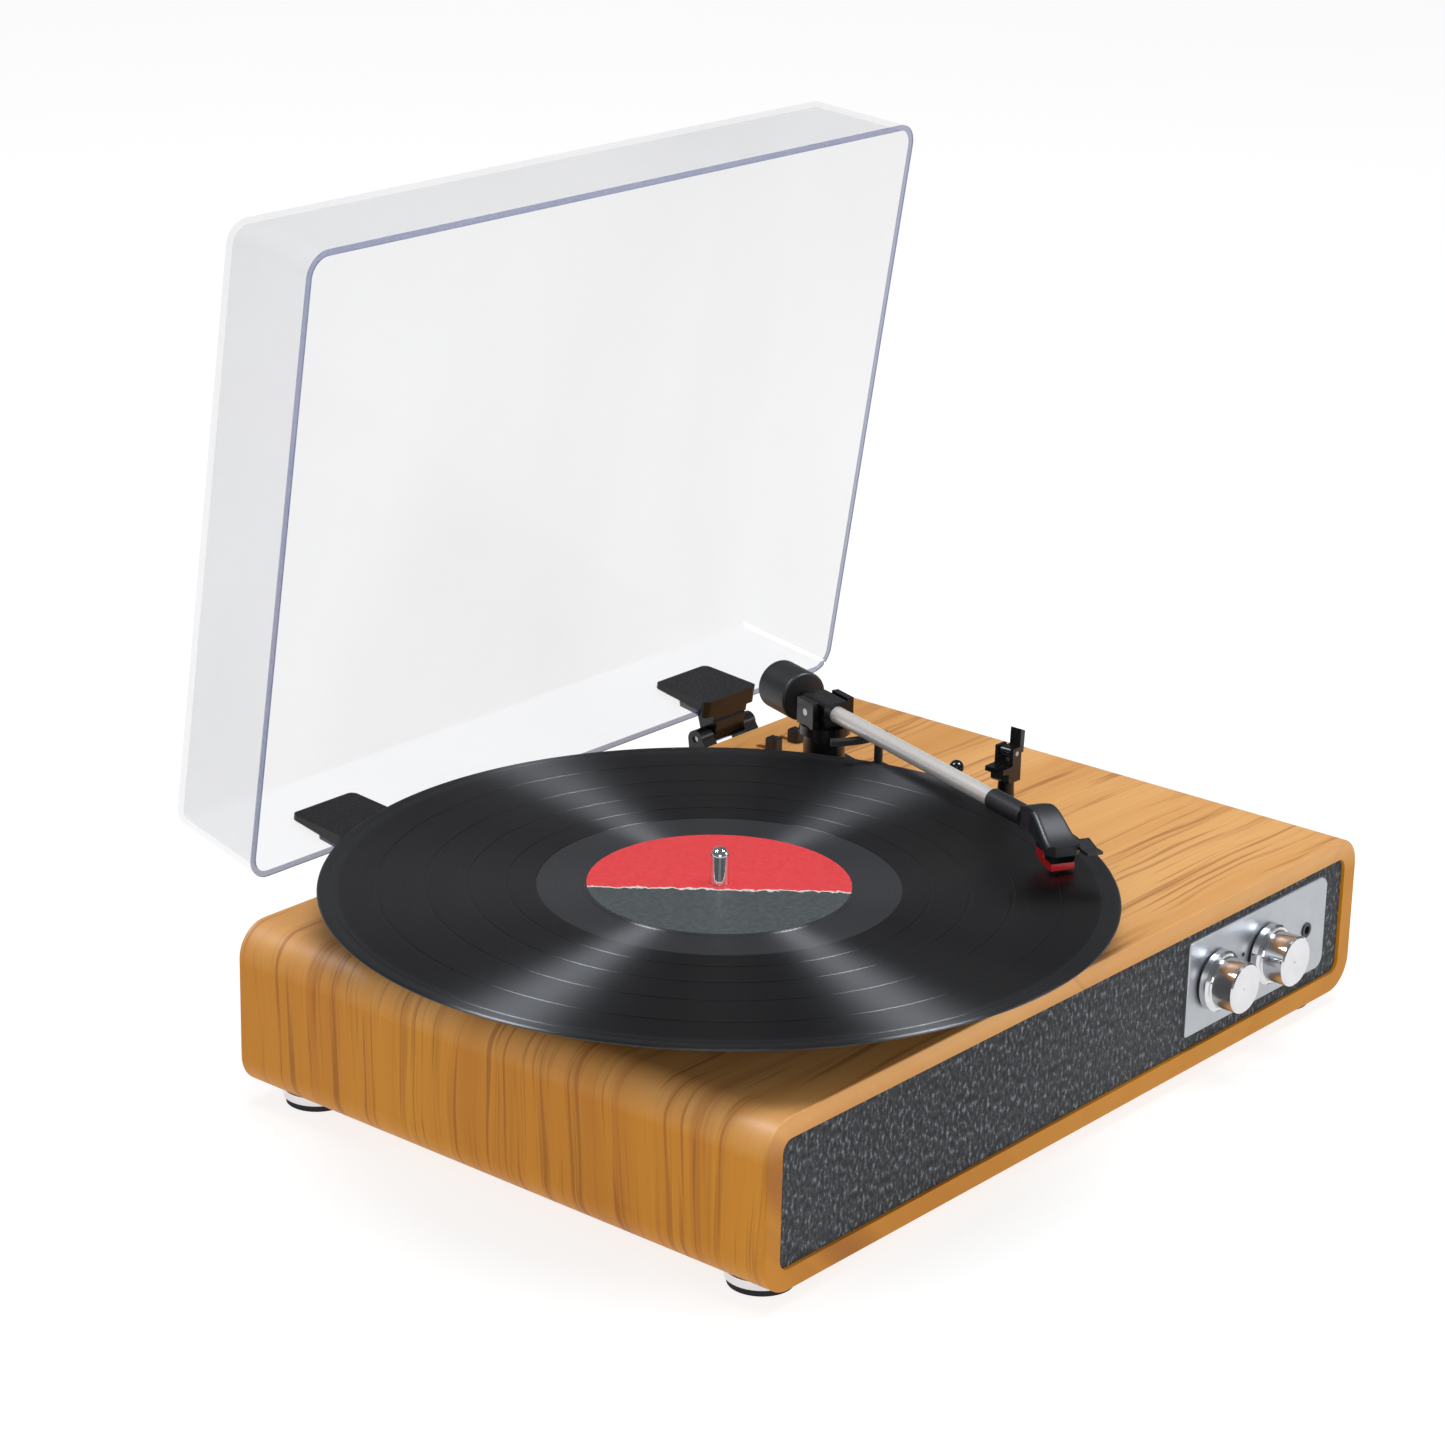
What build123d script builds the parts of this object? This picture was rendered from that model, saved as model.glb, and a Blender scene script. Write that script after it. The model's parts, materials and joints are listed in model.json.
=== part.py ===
"""Belt-drive record player: wooden cabinet with built-in speakers, platter, tonearm and clear lid.

Millimetres, +Z up, front towards -Y. The origin is at floor level, under the middle of the whole object.
The tonearm stands on the record and the lid is open, as the player stands in use.
"""

import os
from math import atan2, cos, degrees, hypot, radians, sin

from build123d import *

# ---------------------------------------------------------------- driving dimensions
cab_w, cab_d, cab_h = 379.0, 259.5, 66.8  # cabinet: width, depth, height
cab_r = 13.3  # outer corner radius of the cabinet's sleeve
wall = 8.4  # cabinet wall
cab_x, cab_y = 17.5, -12.0  # cabinet's centre
foot_h = 6.0
foot_r = 13.3
foot_in_x, foot_in_y = 21.7, 19.0  # foot centre, in from the cabinet's sides and ends

record_r = 150.9
record_t = 1.5
record_rise = 22.0  # record's top above the deck
spindle_x, spindle_y = -56.0, -21.6
spindle_r = 3.55
platter_r = 98.0

pivot_x, pivot_y = 93.9, 47.9  # tonearm's vertical pivot
arm_rise = 14.7  # arm tube's axis above the record
arm_turn = 18.4  # arm tube's direction, from straight to the front, towards the spindle
tube_r = 3.5
tube_end = 120.5  # pivot to the end of the bare tube
collar_end = 142.0
parked_turn = 3.5  # arm's direction on its rest, away from the spindle
rest_out = 85.0  # the rest's distance from the pivot

lid_w, lid_l, lid_h = 353.0, 253.0, 47.8  # lid: width, length from hinge to front, height of its walls
lid_t = 2.4
lid_r = 10.0
lid_lean = 8.6  # the open lid leans this far forward from upright
rim_y, rim_z = 125.5, 84.5  # lower edge of the open lid's rim
hinge_y, hinge_z = 125.9, 73.9
hinge_xs = (-95.8, 121.4)
clip_w, clip_l = 34.0, 26.0

plate_w, plate_h = 100.0, 40.0  # control plate
plate_x, plate_z = 136.0, 40.5
control_z = 40.5
volume_x, mode_x, phones_x = 104.2, 140.7, 171.7
knob_r, knob_flange_r = 10.3, 12.4
knob_out = 14.9  # knobs stand this far out of the cabinet's front

# ---------------------------------------------------------------- places worked out from them
deck_z = foot_h + cab_h
mid_z = foot_h + cab_h / 2
floor_z = foot_h + wall  # inner floor
roof_z = deck_z - wall  # underside of the deck
front_y = cab_y - cab_d / 2
back_y = cab_y + cab_d / 2
left_x = cab_x - cab_w / 2
right_x = cab_x + cab_w / 2
inner_w = cab_w - 2 * wall
inner_h = cab_h - 2 * wall
inner_r = cab_r - wall

record_z = deck_z + record_rise  # record's top
record_under = record_z - record_t
arm_z = record_z + arm_rise
feet_at = [
    (x, y)
    for x in (left_x + foot_in_x, right_x - foot_in_x)
    for y in (front_y + foot_in_y, back_y - foot_in_y)
]


def to_front(x, y, z):
    """A plane facing the front: its x is the row's X, its y is Z, and it extrudes towards the front."""
    return Plane(origin=(x, y, z), x_dir=(1, 0, 0), z_dir=(0, -1, 0))


def to_right(x, y, z):
    """A plane facing right: its x is the row's Y, its y is Z, and it extrudes towards +X."""
    return Plane(origin=(x, y, z), x_dir=(0, 1, 0), z_dir=(1, 0, 0))


def half(x, y, z=0.0):
    """An upright plane through a vertical axis, for turned profiles drawn as (radius, height)."""
    return Plane(origin=(x, y, z), x_dir=(1, 0, 0), z_dir=(0, -1, 0))


def front_half(x, y, z):
    """A plane through an axis that runs to the front, for profiles drawn as (radius, distance out)."""
    return Plane(origin=(x, y, z), x_dir=(1, 0, 0), z_dir=(0, 0, 1))


def arm_at(along, out, z=0.0):
    """A place by the tonearm: along the tube from the pivot, out to the right of it, and its height."""
    turn = radians(arm_turn)
    x = pivot_x - along * sin(turn) + out * cos(turn)
    y = pivot_y - along * cos(turn) - out * sin(turn)
    return (x, y, z)


arm_dir = (-sin(radians(arm_turn)), -cos(radians(arm_turn)), 0)
arm_side = (cos(radians(arm_turn)), -sin(radians(arm_turn)), 0)


def arm_level(z, along=0.0, out=0.0):
    """A level plane by the tonearm: its x runs along the tube, its y out to the right of it."""
    return Plane(origin=arm_at(along, out, z), x_dir=arm_dir, z_dir=(0, 0, 1))


def arm_outer(along, out, z):
    """An upright plane beside the tonearm: its x runs along the tube, its y up, and it extrudes inwards."""
    return Plane(origin=arm_at(along, out, z), x_dir=arm_dir, z_dir=tuple(-c for c in arm_side))


def arm_cross(along, out=0.0, z=arm_z):
    """A plane square across the tube, which extrudes along the tube."""
    return Plane(origin=arm_at(along, out, z), x_dir=arm_side, z_dir=arm_dir)


def lid_at(across, up, back):
    """A place on the open lid: across from its middle, up along its length, back from the rim's plane."""
    lean = radians(lid_lean)
    y = rim_y + back * cos(lean) - up * sin(lean)
    z = rim_z + up * cos(lean) + back * sin(lean)
    return (cab_x + across, y, z)


lid_back = (0, cos(radians(lid_lean)), sin(radians(lid_lean)))


def lid_face(back):
    """A plane parallel to the lid's rim: its x is across, its y is up the lid, centred on the lid."""
    return Plane(origin=lid_at(0, lid_l / 2, back), x_dir=(1, 0, 0), z_dir=tuple(-c for c in lid_back))


def lid_side(across):
    """A plane facing right on the lid: its x runs back from the rim, its y up the lid."""
    return Plane(origin=lid_at(across, 0, 0), x_dir=lid_back, z_dir=(1, 0, 0))


def lid_across(across, up):
    """A plane square to the lid's length: its x runs across, its y back from the rim, and it extrudes up the lid."""
    up_lid = (0, -sin(radians(lid_lean)), cos(radians(lid_lean)))
    return Plane(origin=lid_at(across, up, 0), x_dir=(1, 0, 0), z_dir=up_lid)


pieces = {}

# ---------------------------------------------------------------- cabinet
bearing_r = 7.0
motor_away = 82.0  # motor's shaft from the spindle
motor_x = spindle_x - motor_away * cos(radians(45))
motor_y = spindle_y + motor_away * sin(radians(45))
motor_hole_r = 9.0
arm_hole_r = 6.0
switch_y = 98.0
speed_x, autostop_x = 119.0, 134.0
switch_slot = 13.0
screw_r = 1.6
bearing_bolt_r = 12.0
motor_bolt_r = 21.0
rest_x = pivot_x + rest_out * sin(radians(parked_turn))
rest_y = pivot_y - rest_out * cos(radians(parked_turn))
rest_spread = 6.3  # post's axis, right of the parked tube's axis
post_x = rest_x + rest_spread

with BuildPart() as cabinet:
    with BuildSketch(to_front(cab_x, back_y, mid_z)):
        RectangleRounded(cab_w, cab_h, cab_r)
        RectangleRounded(inner_w, inner_h, inner_r, mode=Mode.SUBTRACT)
    extrude(amount=cab_d)
    front_rim = cabinet.faces().sort_by(Axis.Y)[0]
    fillet(front_rim.outer_wire().edges(), 0.6)
    with BuildSketch(Plane.XY.offset(deck_z)):
        with Locations((spindle_x, spindle_y)):
            Circle(bearing_r + 0.2)
        with Locations((motor_x, motor_y)):
            Circle(motor_hole_r)
        with Locations((pivot_x, pivot_y)):
            Circle(arm_hole_r)
        with Locations((speed_x, switch_y), (autostop_x, switch_y)):
            SlotOverall(switch_slot, 3.0, rotation=90)
        with Locations((post_x, rest_y)):
            Circle(screw_r + 0.8)
    extrude(amount=-wall, mode=Mode.SUBTRACT)
    with BuildSketch(Plane.XY.offset(foot_h)):
        with Locations(*feet_at):
            Circle(screw_r)
    extrude(amount=wall - 1.0, mode=Mode.SUBTRACT)
pieces["cabinet"] = cabinet

# ---------------------------------------------------------------- front: baffle, cloth, speakers
cloth_y = front_y + 1.4  # cloth's face, set back in the opening
cloth_t = 0.8
baffle_t = 6.0
baffle_y = cloth_y + cloth_t
slack = 0.2  # panels are this much smaller all round than their openings
speaker_r = 21.0
speaker_xs = (-122.0, 28.0)
shaft_hole_r = 4.0
phones_r = 3.2
led_x, led_z = volume_x + 20.6, control_z + 3.8
led_r = 0.9


def front_panel(width, height, radius, y_face, thickness, holes=()):
    """A panel that fills the front opening, pierced by (x, z, radius) holes."""
    with BuildPart() as panel:
        with BuildSketch(to_front(cab_x, y_face + thickness, mid_z)):
            RectangleRounded(width, height, radius)
            for x, z, r in holes:
                with Locations((x - cab_x, z - mid_z)):
                    Circle(r, mode=Mode.SUBTRACT)
        extrude(amount=thickness)
    return panel


control_holes = [
    (volume_x, control_z, shaft_hole_r),
    (mode_x, control_z, shaft_hole_r),
    (phones_x, control_z, phones_r),
    (led_x, led_z, led_r),
]
speaker_holes = [(x, mid_z, speaker_r - 2.5) for x in speaker_xs]
panel_size = (inner_w - 2 * slack, inner_h - 2 * slack, inner_r - slack)
pieces["front_baffle"] = front_panel(*panel_size, baffle_y, baffle_t, control_holes + speaker_holes)
pieces["grille_cloth"] = front_panel(*panel_size, cloth_y, cloth_t, control_holes)

baffle_back = baffle_y + baffle_t
with BuildPart() as speaker_frames:
    for speaker_x in speaker_xs:
        with BuildSketch(front_half(speaker_x, baffle_back, mid_z)):
            with BuildLine():
                Polyline(
                    (speaker_r - 3.5, 0), (speaker_r, 0), (speaker_r, 2.0), (speaker_r - 2, 2.0),
                    (12.0, 13.0), (12.0, 15.0), (7.0, 15.0), (7.0, 13.0), (10.0, 12.0), (speaker_r - 3.5, 1.6),
                    close=True,
                )
            make_face()
        revolve(axis=Axis((speaker_x, 0, mid_z), (0, 1, 0)))
        with BuildSketch(to_front(speaker_x, baffle_back + 25.0, mid_z)):
            Circle(15.0)
        extrude(amount=10.0)
        with BuildSketch(to_front(speaker_x, baffle_back + 15.0, mid_z)):
            Circle(7.5)
        extrude(amount=2.0)
pieces["speaker_frames"] = speaker_frames

with BuildPart() as speaker_cones:
    for speaker_x in speaker_xs:
        with BuildSketch(front_half(speaker_x, baffle_back, mid_z)):
            with BuildLine():
                Polyline(
                    (0, 7.2), (5.5, 9.2), (16.9, 0.2), (16.9, 1.0), (6.0, 9.8), (0, 9.8),
                    close=True,
                )
            make_face()
        revolve(axis=Axis((speaker_x, 0, mid_z), (0, 1, 0)))
pieces["speaker_cones"] = speaker_cones

# ---------------------------------------------------------------- controls
plate_t = 1.4
plate_y = cloth_y - plate_t
with BuildPart() as control_plate:
    with BuildSketch(to_front(plate_x, cloth_y, plate_z)) as control_sketch:
        outline = Rectangle(plate_w, plate_h)
        fillet(outline.vertices().group_by(Axis.X)[0], 1.5)
        fillet(control_sketch.vertices().group_by(Axis.X)[-1], 5.0)
        for x, z, r in control_holes:
            with Locations((x - plate_x, z - plate_z)):
                Circle(r, mode=Mode.SUBTRACT)
    extrude(amount=plate_t)
    chamfer(control_plate.faces().sort_by(Axis.Y)[0].outer_wire().edges(), 0.4)
pieces["control_plate"] = control_plate

knob_gap = 0.6  # knob's flange clear of the plate
knob_back = plate_y - knob_gap
knob_front = front_y - knob_out
knob_length = knob_back - knob_front
shaft_r = 3.0


def knob(x):
    """A turned metal knob with a wide flange and a dished face."""
    with BuildPart() as turned:
        with BuildSketch(Plane(origin=(x, knob_back, control_z), x_dir=(1, 0, 0), z_dir=(0, 0, -1))):
            with BuildLine():
                Polyline(
                    (0, 10.0), (shaft_r, 10.0), (shaft_r, 0), (knob_flange_r - 0.8, 0),
                    (knob_flange_r, 0.8), (knob_flange_r, 3.4), (knob_flange_r - 0.9, 4.3), (knob_r + 0.3, 4.6),
                    (knob_r, 5.2), (knob_r, knob_length - 0.6), (knob_r - 0.6, knob_length),
                    (knob_r - 1.2, knob_length), (0, knob_length - 0.9),
                    close=True,
                )
            make_face()
        revolve(axis=Axis((x, 0, control_z), (0, 1, 0)))
    return turned


def knob_shaft(x):
    """A control's steel shaft, from inside the knob to inside the control's body."""
    with BuildPart() as shaft:
        with BuildSketch(to_front(x, baffle_back + 6.0, control_z)):
            Circle(shaft_r)
        extrude(amount=baffle_back + 6.0 - knob_back + 10.0)
    return shaft


# Each control's body is behind the baffle, with a bush that the shaft turns in.
with BuildPart() as rotary_controls:
    for x in (volume_x, mode_x):
        with BuildSketch(to_front(x, baffle_back + 10.0, control_z)):
            RectangleRounded(17.0, 19.0, 2.0)
        extrude(amount=10.0)
        with BuildSketch(to_front(x, baffle_back, control_z)):
            Circle(shaft_hole_r - 0.1)
        extrude(amount=baffle_t + cloth_t)
        with BuildSketch(to_front(x, baffle_back + 6.2, control_z)):
            Circle(shaft_r + 0.05)
        extrude(amount=6.2 + baffle_t + cloth_t, mode=Mode.SUBTRACT)
pieces["rotary_controls"] = rotary_controls

for name, x in (("volume", volume_x), ("mode", mode_x)):
    pieces[f"{name}_knob"] = knob(x)
    pieces[f"{name}_shaft"] = knob_shaft(x)

phones_bore_r = 1.8
phones_depth = 14.0
with BuildPart() as headphone_socket:
    with BuildSketch(to_front(phones_x, baffle_back + 6.0, control_z)):
        Rectangle(9.0, 9.0)
    extrude(amount=6.0)
    with BuildSketch(to_front(phones_x, baffle_back, control_z)):
        Circle(phones_r - 0.05)
    extrude(amount=baffle_back - plate_y + 0.5)
    with BuildSketch(to_front(phones_x, plate_y - 0.5 + phones_depth, control_z)):
        Circle(phones_bore_r)
    extrude(amount=phones_depth, mode=Mode.SUBTRACT)
pieces["headphone_socket"] = headphone_socket

with BuildPart() as indicator_lamp:
    with BuildSketch(to_front(led_x, baffle_back + 2.0, led_z)):
        Circle(led_r - 0.05)
    extrude(amount=baffle_back + 2.0 - plate_y + 0.2)
pieces["indicator_lamp"] = indicator_lamp

# ---------------------------------------------------------------- circuit board
board_w, board_d, board_t = 96.0, 62.0, 1.6
board_x, board_y = plate_x, front_y + 60.0
board_z = floor_z + 6.0
board_holes = [(i * (board_w / 2 - 4.5), j * (board_d / 2 - 4.5)) for i in (-1, 1) for j in (-1, 1)]
# Chips and coils as (x, y, width, depth, height) and round capacitors as (x, y, radius, height).
chips = [(-30, 6, 14, 10, 2.5), (-8, -12, 9, 9, 1.8), (18, 10, 22, 12, 12.0), (-10, 14, 6, 12, 3.0)]
cans = [(34, -12, 5.0, 14.0), (22, -14, 4.0, 11.0), (-32, -14, 3.2, 9.0), (-22, -16, 3.2, 9.0)]
with BuildPart() as main_board:
    with BuildSketch(Plane.XY.offset(board_z)):
        with Locations((board_x, board_y)):
            Rectangle(board_w, board_d)
        for dx, dy in board_holes:
            with Locations((board_x + dx, board_y + dy)):
                Circle(screw_r, mode=Mode.SUBTRACT)
    extrude(amount=board_t)
    for dx, dy, w, d, h in chips:
        with BuildSketch(Plane.XY.offset(board_z + board_t)):
            with Locations((board_x + dx, board_y + dy)):
                Rectangle(w, d)
        extrude(amount=h)
    for dx, dy, r, h in cans:
        with BuildSketch(Plane.XY.offset(board_z + board_t)):
            with Locations((board_x + dx, board_y + dy)):
                Circle(r)
        extrude(amount=h)
pieces["main_board"] = main_board

with BuildPart() as board_screws:
    for dx, dy in board_holes:
        with BuildSketch(Plane.XY.offset(board_z)):
            with Locations((board_x + dx, board_y + dy)):
                Circle(screw_r - 0.05)
        extrude(amount=board_t)
        with BuildSketch(Plane.XY.offset(board_z + board_t)):
            with Locations((board_x + dx, board_y + dy)):
                Circle(2.9)
        extrude(amount=1.7)
pieces["board_screws"] = board_screws

# ---------------------------------------------------------------- rear panel and its sockets
rear_t = 4.0
rca_xs = (134.0, 150.0)
rca_z = 37.0
dc_x, dc_z = 172.0, 37.0
dc_r = 5.5
rear_screws_at = [(cab_x + i * (inner_w / 2 - 8.0), mid_z + j * 17.0) for i in (-1, 0, 1) for j in (-1, 1)]
hinge_screw_dx, hinge_screw_z = 10.0, 52.0
rear_holes = [(x, rca_z, 4.2) for x in rca_xs] + [(dc_x, dc_z, dc_r)]
rear_holes += [(x, z, screw_r) for x, z in rear_screws_at]
rear_holes += [(x + i * hinge_screw_dx, hinge_screw_z, screw_r) for x in hinge_xs for i in (-1, 1)]
pieces["rear_panel"] = front_panel(*panel_size, back_y - rear_t, rear_t, rear_holes)


def pan_screws(places, y_head, length):
    """Screws driven in from the back at (x, z) places: round heads on the surface at y_head."""
    with BuildPart() as screws:
        for x, z in places:
            with BuildSketch(to_front(x, y_head + 1.6, z)):
                Circle(3.0)
            extrude(amount=1.6)
            with BuildSketch(to_front(x, y_head, z)):
                Circle(screw_r - 0.05)
            extrude(amount=length)
        edges = screws.faces().filter_by(Axis.Y).group_by(Axis.Y)[-1].edges()
        fillet(edges, 0.9)
    return screws


hinge_screws_at = [(x + i * hinge_screw_dx, hinge_screw_z) for x in hinge_xs for i in (-1, 1)]
base_t = 3.0
with BuildPart() as rear_screws:
    add(pan_screws(rear_screws_at, back_y, 9.0).part)
    add(pan_screws(hinge_screws_at, back_y + base_t, 12.0).part)
pieces["rear_screws"] = rear_screws

with BuildPart() as inner_blocks:
    for dx, dy in board_holes:
        with BuildSketch(Plane.XY.offset(floor_z)):
            with Locations((board_x + dx, board_y + dy)):
                Circle(3.4)
        extrude(amount=board_z - floor_z)
    for x, z in rear_screws_at:
        with BuildSketch(to_front(x, back_y - rear_t, z)):
            Rectangle(13.0, 13.0)
            Circle(screw_r, mode=Mode.SUBTRACT)
        extrude(amount=12.0)
pieces["inner_blocks"] = inner_blocks

with BuildPart() as rca_sockets:
    for x in rca_xs:
        with BuildSketch(to_front(x, back_y + 9.0, rca_z)):
            Circle(4.1)
        extrude(amount=9.0 + rear_t + 5.0)
        with BuildSketch(to_front(x, back_y + 9.0, rca_z)):
            Circle(1.6)
        extrude(amount=9.0, mode=Mode.SUBTRACT)
        with BuildSketch(to_front(x, back_y + 9.0, rca_z)):
            Circle(3.5)
        extrude(amount=1.0, mode=Mode.SUBTRACT)
pieces["rca_sockets"] = rca_sockets

with BuildPart() as power_inlet:
    with BuildSketch(to_front(dc_x, back_y + 1.2, dc_z)):
        Circle(dc_r + 1.5)
    extrude(amount=1.2)
    with BuildSketch(to_front(dc_x, back_y, dc_z)):
        Circle(dc_r - 0.05)
    extrude(amount=rear_t + 8.0)
    with BuildSketch(to_front(dc_x, back_y + 1.2, dc_z)):
        Circle(2.75)
        Circle(1.0, mode=Mode.SUBTRACT)
    extrude(amount=10.0, mode=Mode.SUBTRACT)
pieces["power_inlet"] = power_inlet

# ---------------------------------------------------------------- feet
pad_t = 1.8
with BuildPart() as foot_shells:
    for x, y in feet_at:
        with BuildSketch(half(x, y)):
            with BuildLine():
                Polyline(
                    (screw_r, foot_h), (foot_r, foot_h), (foot_r, pad_t + 1.0), (foot_r - 1.0, pad_t),
                    (6.0, pad_t), (6.0, 4.6), (screw_r, 4.6),
                    close=True,
                )
            make_face()
        revolve(axis=Axis((x, y, 0), (0, 0, 1)))
pieces["foot_shells"] = foot_shells

with BuildPart() as foot_pads:
    for x, y in feet_at:
        with BuildSketch(Plane.XY):
            with Locations((x, y)):
                Circle(foot_r - 1.1)
                Circle(6.0, mode=Mode.SUBTRACT)
        extrude(amount=pad_t)
pieces["foot_pads"] = foot_pads

with BuildPart() as foot_screws:
    for x, y in feet_at:
        with BuildSketch(half(x, y)):
            with BuildLine():
                Polyline(
                    (0, 2.8), (3.4, 2.8), (3.4, 4.6), (screw_r - 0.05, 4.6), (screw_r - 0.05, foot_h + 7.0),
                    (0, foot_h + 7.4),
                    close=True,
                )
            make_face()
        revolve(axis=Axis((x, y, 0), (0, 0, 1)))
pieces["foot_screws"] = foot_screws

# ---------------------------------------------------------------- platter, record and drive
spindle_axis = Axis((spindle_x, spindle_y, 0), (0, 0, 1))
label_r = 50.0
label_t = 0.12
mat_t = 1.4
mat_z = record_under - label_t - mat_t
platter_t = 3.2
hub_z = deck_z + 7.0
skirt_z = deck_z + 5.0
ring_r = 63.0  # the belt runs on this ring
ring_t = 2.6
bore_fit = 0.05
journal_r = 3.0

with BuildPart() as platter:
    with BuildSketch(half(spindle_x, spindle_y)):
        with BuildLine():
            Polyline(
                (spindle_r, mat_z), (platter_r - 1.0, mat_z), (platter_r, mat_z - 1.0), (platter_r, skirt_z),
                (platter_r - 3.2, skirt_z), (platter_r - 3.2, mat_z - platter_t), (ring_r, mat_z - platter_t),
                (ring_r, hub_z - 1.0), (ring_r - ring_t, hub_z - 1.0), (ring_r - ring_t, mat_z - platter_t),
                (11.0, mat_z - platter_t), (11.0, hub_z), (spindle_r, hub_z),
                close=True,
            )
        make_face()
    revolve(axis=spindle_axis)
pieces["platter"] = platter

with BuildPart() as slip_mat:
    with BuildSketch(Plane.XY.offset(mat_z)):
        with Locations((spindle_x, spindle_y)):
            Circle(platter_r - 1.5)
            Circle(spindle_r + 0.1, mode=Mode.SUBTRACT)
    extrude(amount=mat_t)
pieces["slip_mat"] = slip_mat

groove_drop = 0.15  # the playing surface lies this far below the rim and the label
with BuildPart() as record:
    with BuildSketch(half(spindle_x, spindle_y)):
        with BuildLine():
            outline = Polyline(
                (spindle_r + 0.1, record_under), (record_r - 0.7, record_under), (record_r, record_under + 0.6),
                (record_r, record_z - 0.5), (record_r - 0.5, record_z), (record_r - 2.6, record_z),
                (record_r - 4.6, record_z - groove_drop), (60.5, record_z - groove_drop),
                (60.0, record_z - groove_drop + 0.06), (52.5, record_z - groove_drop + 0.06),
                (51.5, record_z), (spindle_r + 0.1, record_z),
                close=True,
            )
        make_face()
    revolve(axis=spindle_axis)
pieces["record"] = record

with BuildPart() as record_labels:
    for z in (record_z, record_under - label_t):
        with BuildSketch(Plane.XY.offset(z)):
            with Locations((spindle_x, spindle_y)):
                Circle(label_r)
                Circle(spindle_r + 0.1, mode=Mode.SUBTRACT)
        extrude(amount=label_t)
pieces["record_labels"] = record_labels

spindle_top = record_z + 14.7
free_r = spindle_r - 0.05  # the spindle's free end above the record
free_z = record_z + 0.3
free_taper = 0.8  # length of the taper down to the free end's radius
tip_r = (free_r**2 + 3.2**2) / (2 * 3.2)
tip_z = spindle_top - tip_r + tip_r * cos(radians(40))
journal_bottom = floor_z + 26.0
with BuildPart() as spindle:
    with BuildSketch(half(spindle_x, spindle_y)):
        with BuildLine():
            lower = Polyline(
                (0, journal_bottom), (1.5, journal_bottom), (journal_r, journal_bottom + 1.5),
                (journal_r, deck_z + 5.5), (9.0, deck_z + 5.5), (9.0, hub_z), (spindle_r, hub_z),
                (spindle_r, free_z), (free_r, free_z + free_taper), (free_r, spindle_top - 3.2),
            )
            tip = ThreePointArc(lower @ 1, (tip_r * sin(radians(40)), tip_z), (0, spindle_top))
            Line(tip @ 1, lower @ 0)
        make_face()
    revolve(axis=spindle_axis)
pieces["spindle"] = spindle

bearing_holes = [(bearing_bolt_r * cos(radians(a)), bearing_bolt_r * sin(radians(a))) for a in (90, 210, 330)]
with BuildPart() as bearing_housing:
    with BuildSketch(half(spindle_x, spindle_y)):
        with BuildLine():
            Polyline(
                (0, journal_bottom - 3.5), (bearing_r, journal_bottom - 3.5), (bearing_r, roof_z - 3.0),
                (16.0, roof_z - 3.0), (16.0, roof_z), (bearing_r, roof_z), (bearing_r, deck_z + 4.5),
                (journal_r + bore_fit, deck_z + 4.5), (journal_r + bore_fit, journal_bottom - 0.5),
                (0, journal_bottom - 0.5),
                close=True,
            )
        make_face()
    revolve(axis=spindle_axis)
    with BuildSketch(Plane.XY.offset(roof_z - 3.0)):
        for dx, dy in bearing_holes:
            with Locations((spindle_x + dx, spindle_y + dy)):
                Circle(screw_r)
    extrude(amount=3.0, mode=Mode.SUBTRACT)
pieces["bearing_housing"] = bearing_housing


def roof_screws(places, z_head):
    """Screws driven up from inside at (x, y) places: heads under z_head, ends against the deck."""
    with BuildPart() as screws:
        for x, y in places:
            with BuildSketch(Plane.XY.offset(z_head - 1.6)):
                with Locations((x, y)):
                    Circle(2.9)
            extrude(amount=1.6)
            with BuildSketch(Plane.XY.offset(z_head)):
                with Locations((x, y)):
                    Circle(screw_r - 0.05)
            extrude(amount=roof_z - z_head)
    return screws


bearing_places = [(spindle_x + dx, spindle_y + dy) for dx, dy in bearing_holes]

motor_r = 16.5
motor_top = roof_z - 4.0
motor_h = 21.0
motor_shaft_r = 1.2
motor_holes = [(motor_bolt_r * cos(radians(a)), motor_bolt_r * sin(radians(a))) for a in (15, 135, 255)]
motor_places = [(motor_x + dx, motor_y + dy) for dx, dy in motor_holes]
with BuildPart() as motor:
    with BuildSketch(Plane.XY.offset(motor_top - motor_h)):
        with Locations((motor_x, motor_y)):
            Circle(motor_r)
    extrude(amount=motor_h)
    with BuildSketch(Plane.XY.offset(motor_top)):
        with Locations((motor_x, motor_y)):
            Circle(4.0)
    extrude(amount=2.5)
    with BuildSketch(Plane.XY.offset(motor_top - 8.0)):
        with Locations((motor_x, motor_y)):
            Circle(motor_shaft_r + bore_fit)
    extrude(amount=12.0, mode=Mode.SUBTRACT)
pieces["motor"] = motor

with BuildPart() as motor_bracket:
    with BuildSketch(Plane.XY.offset(motor_top)):
        with Locations((motor_x, motor_y)):
            Circle(26.0)
            Circle(4.1, mode=Mode.SUBTRACT)
        with Locations(*motor_places):
            Circle(3.0, mode=Mode.SUBTRACT)
    extrude(amount=1.2)
pieces["motor_bracket"] = motor_bracket

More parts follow.
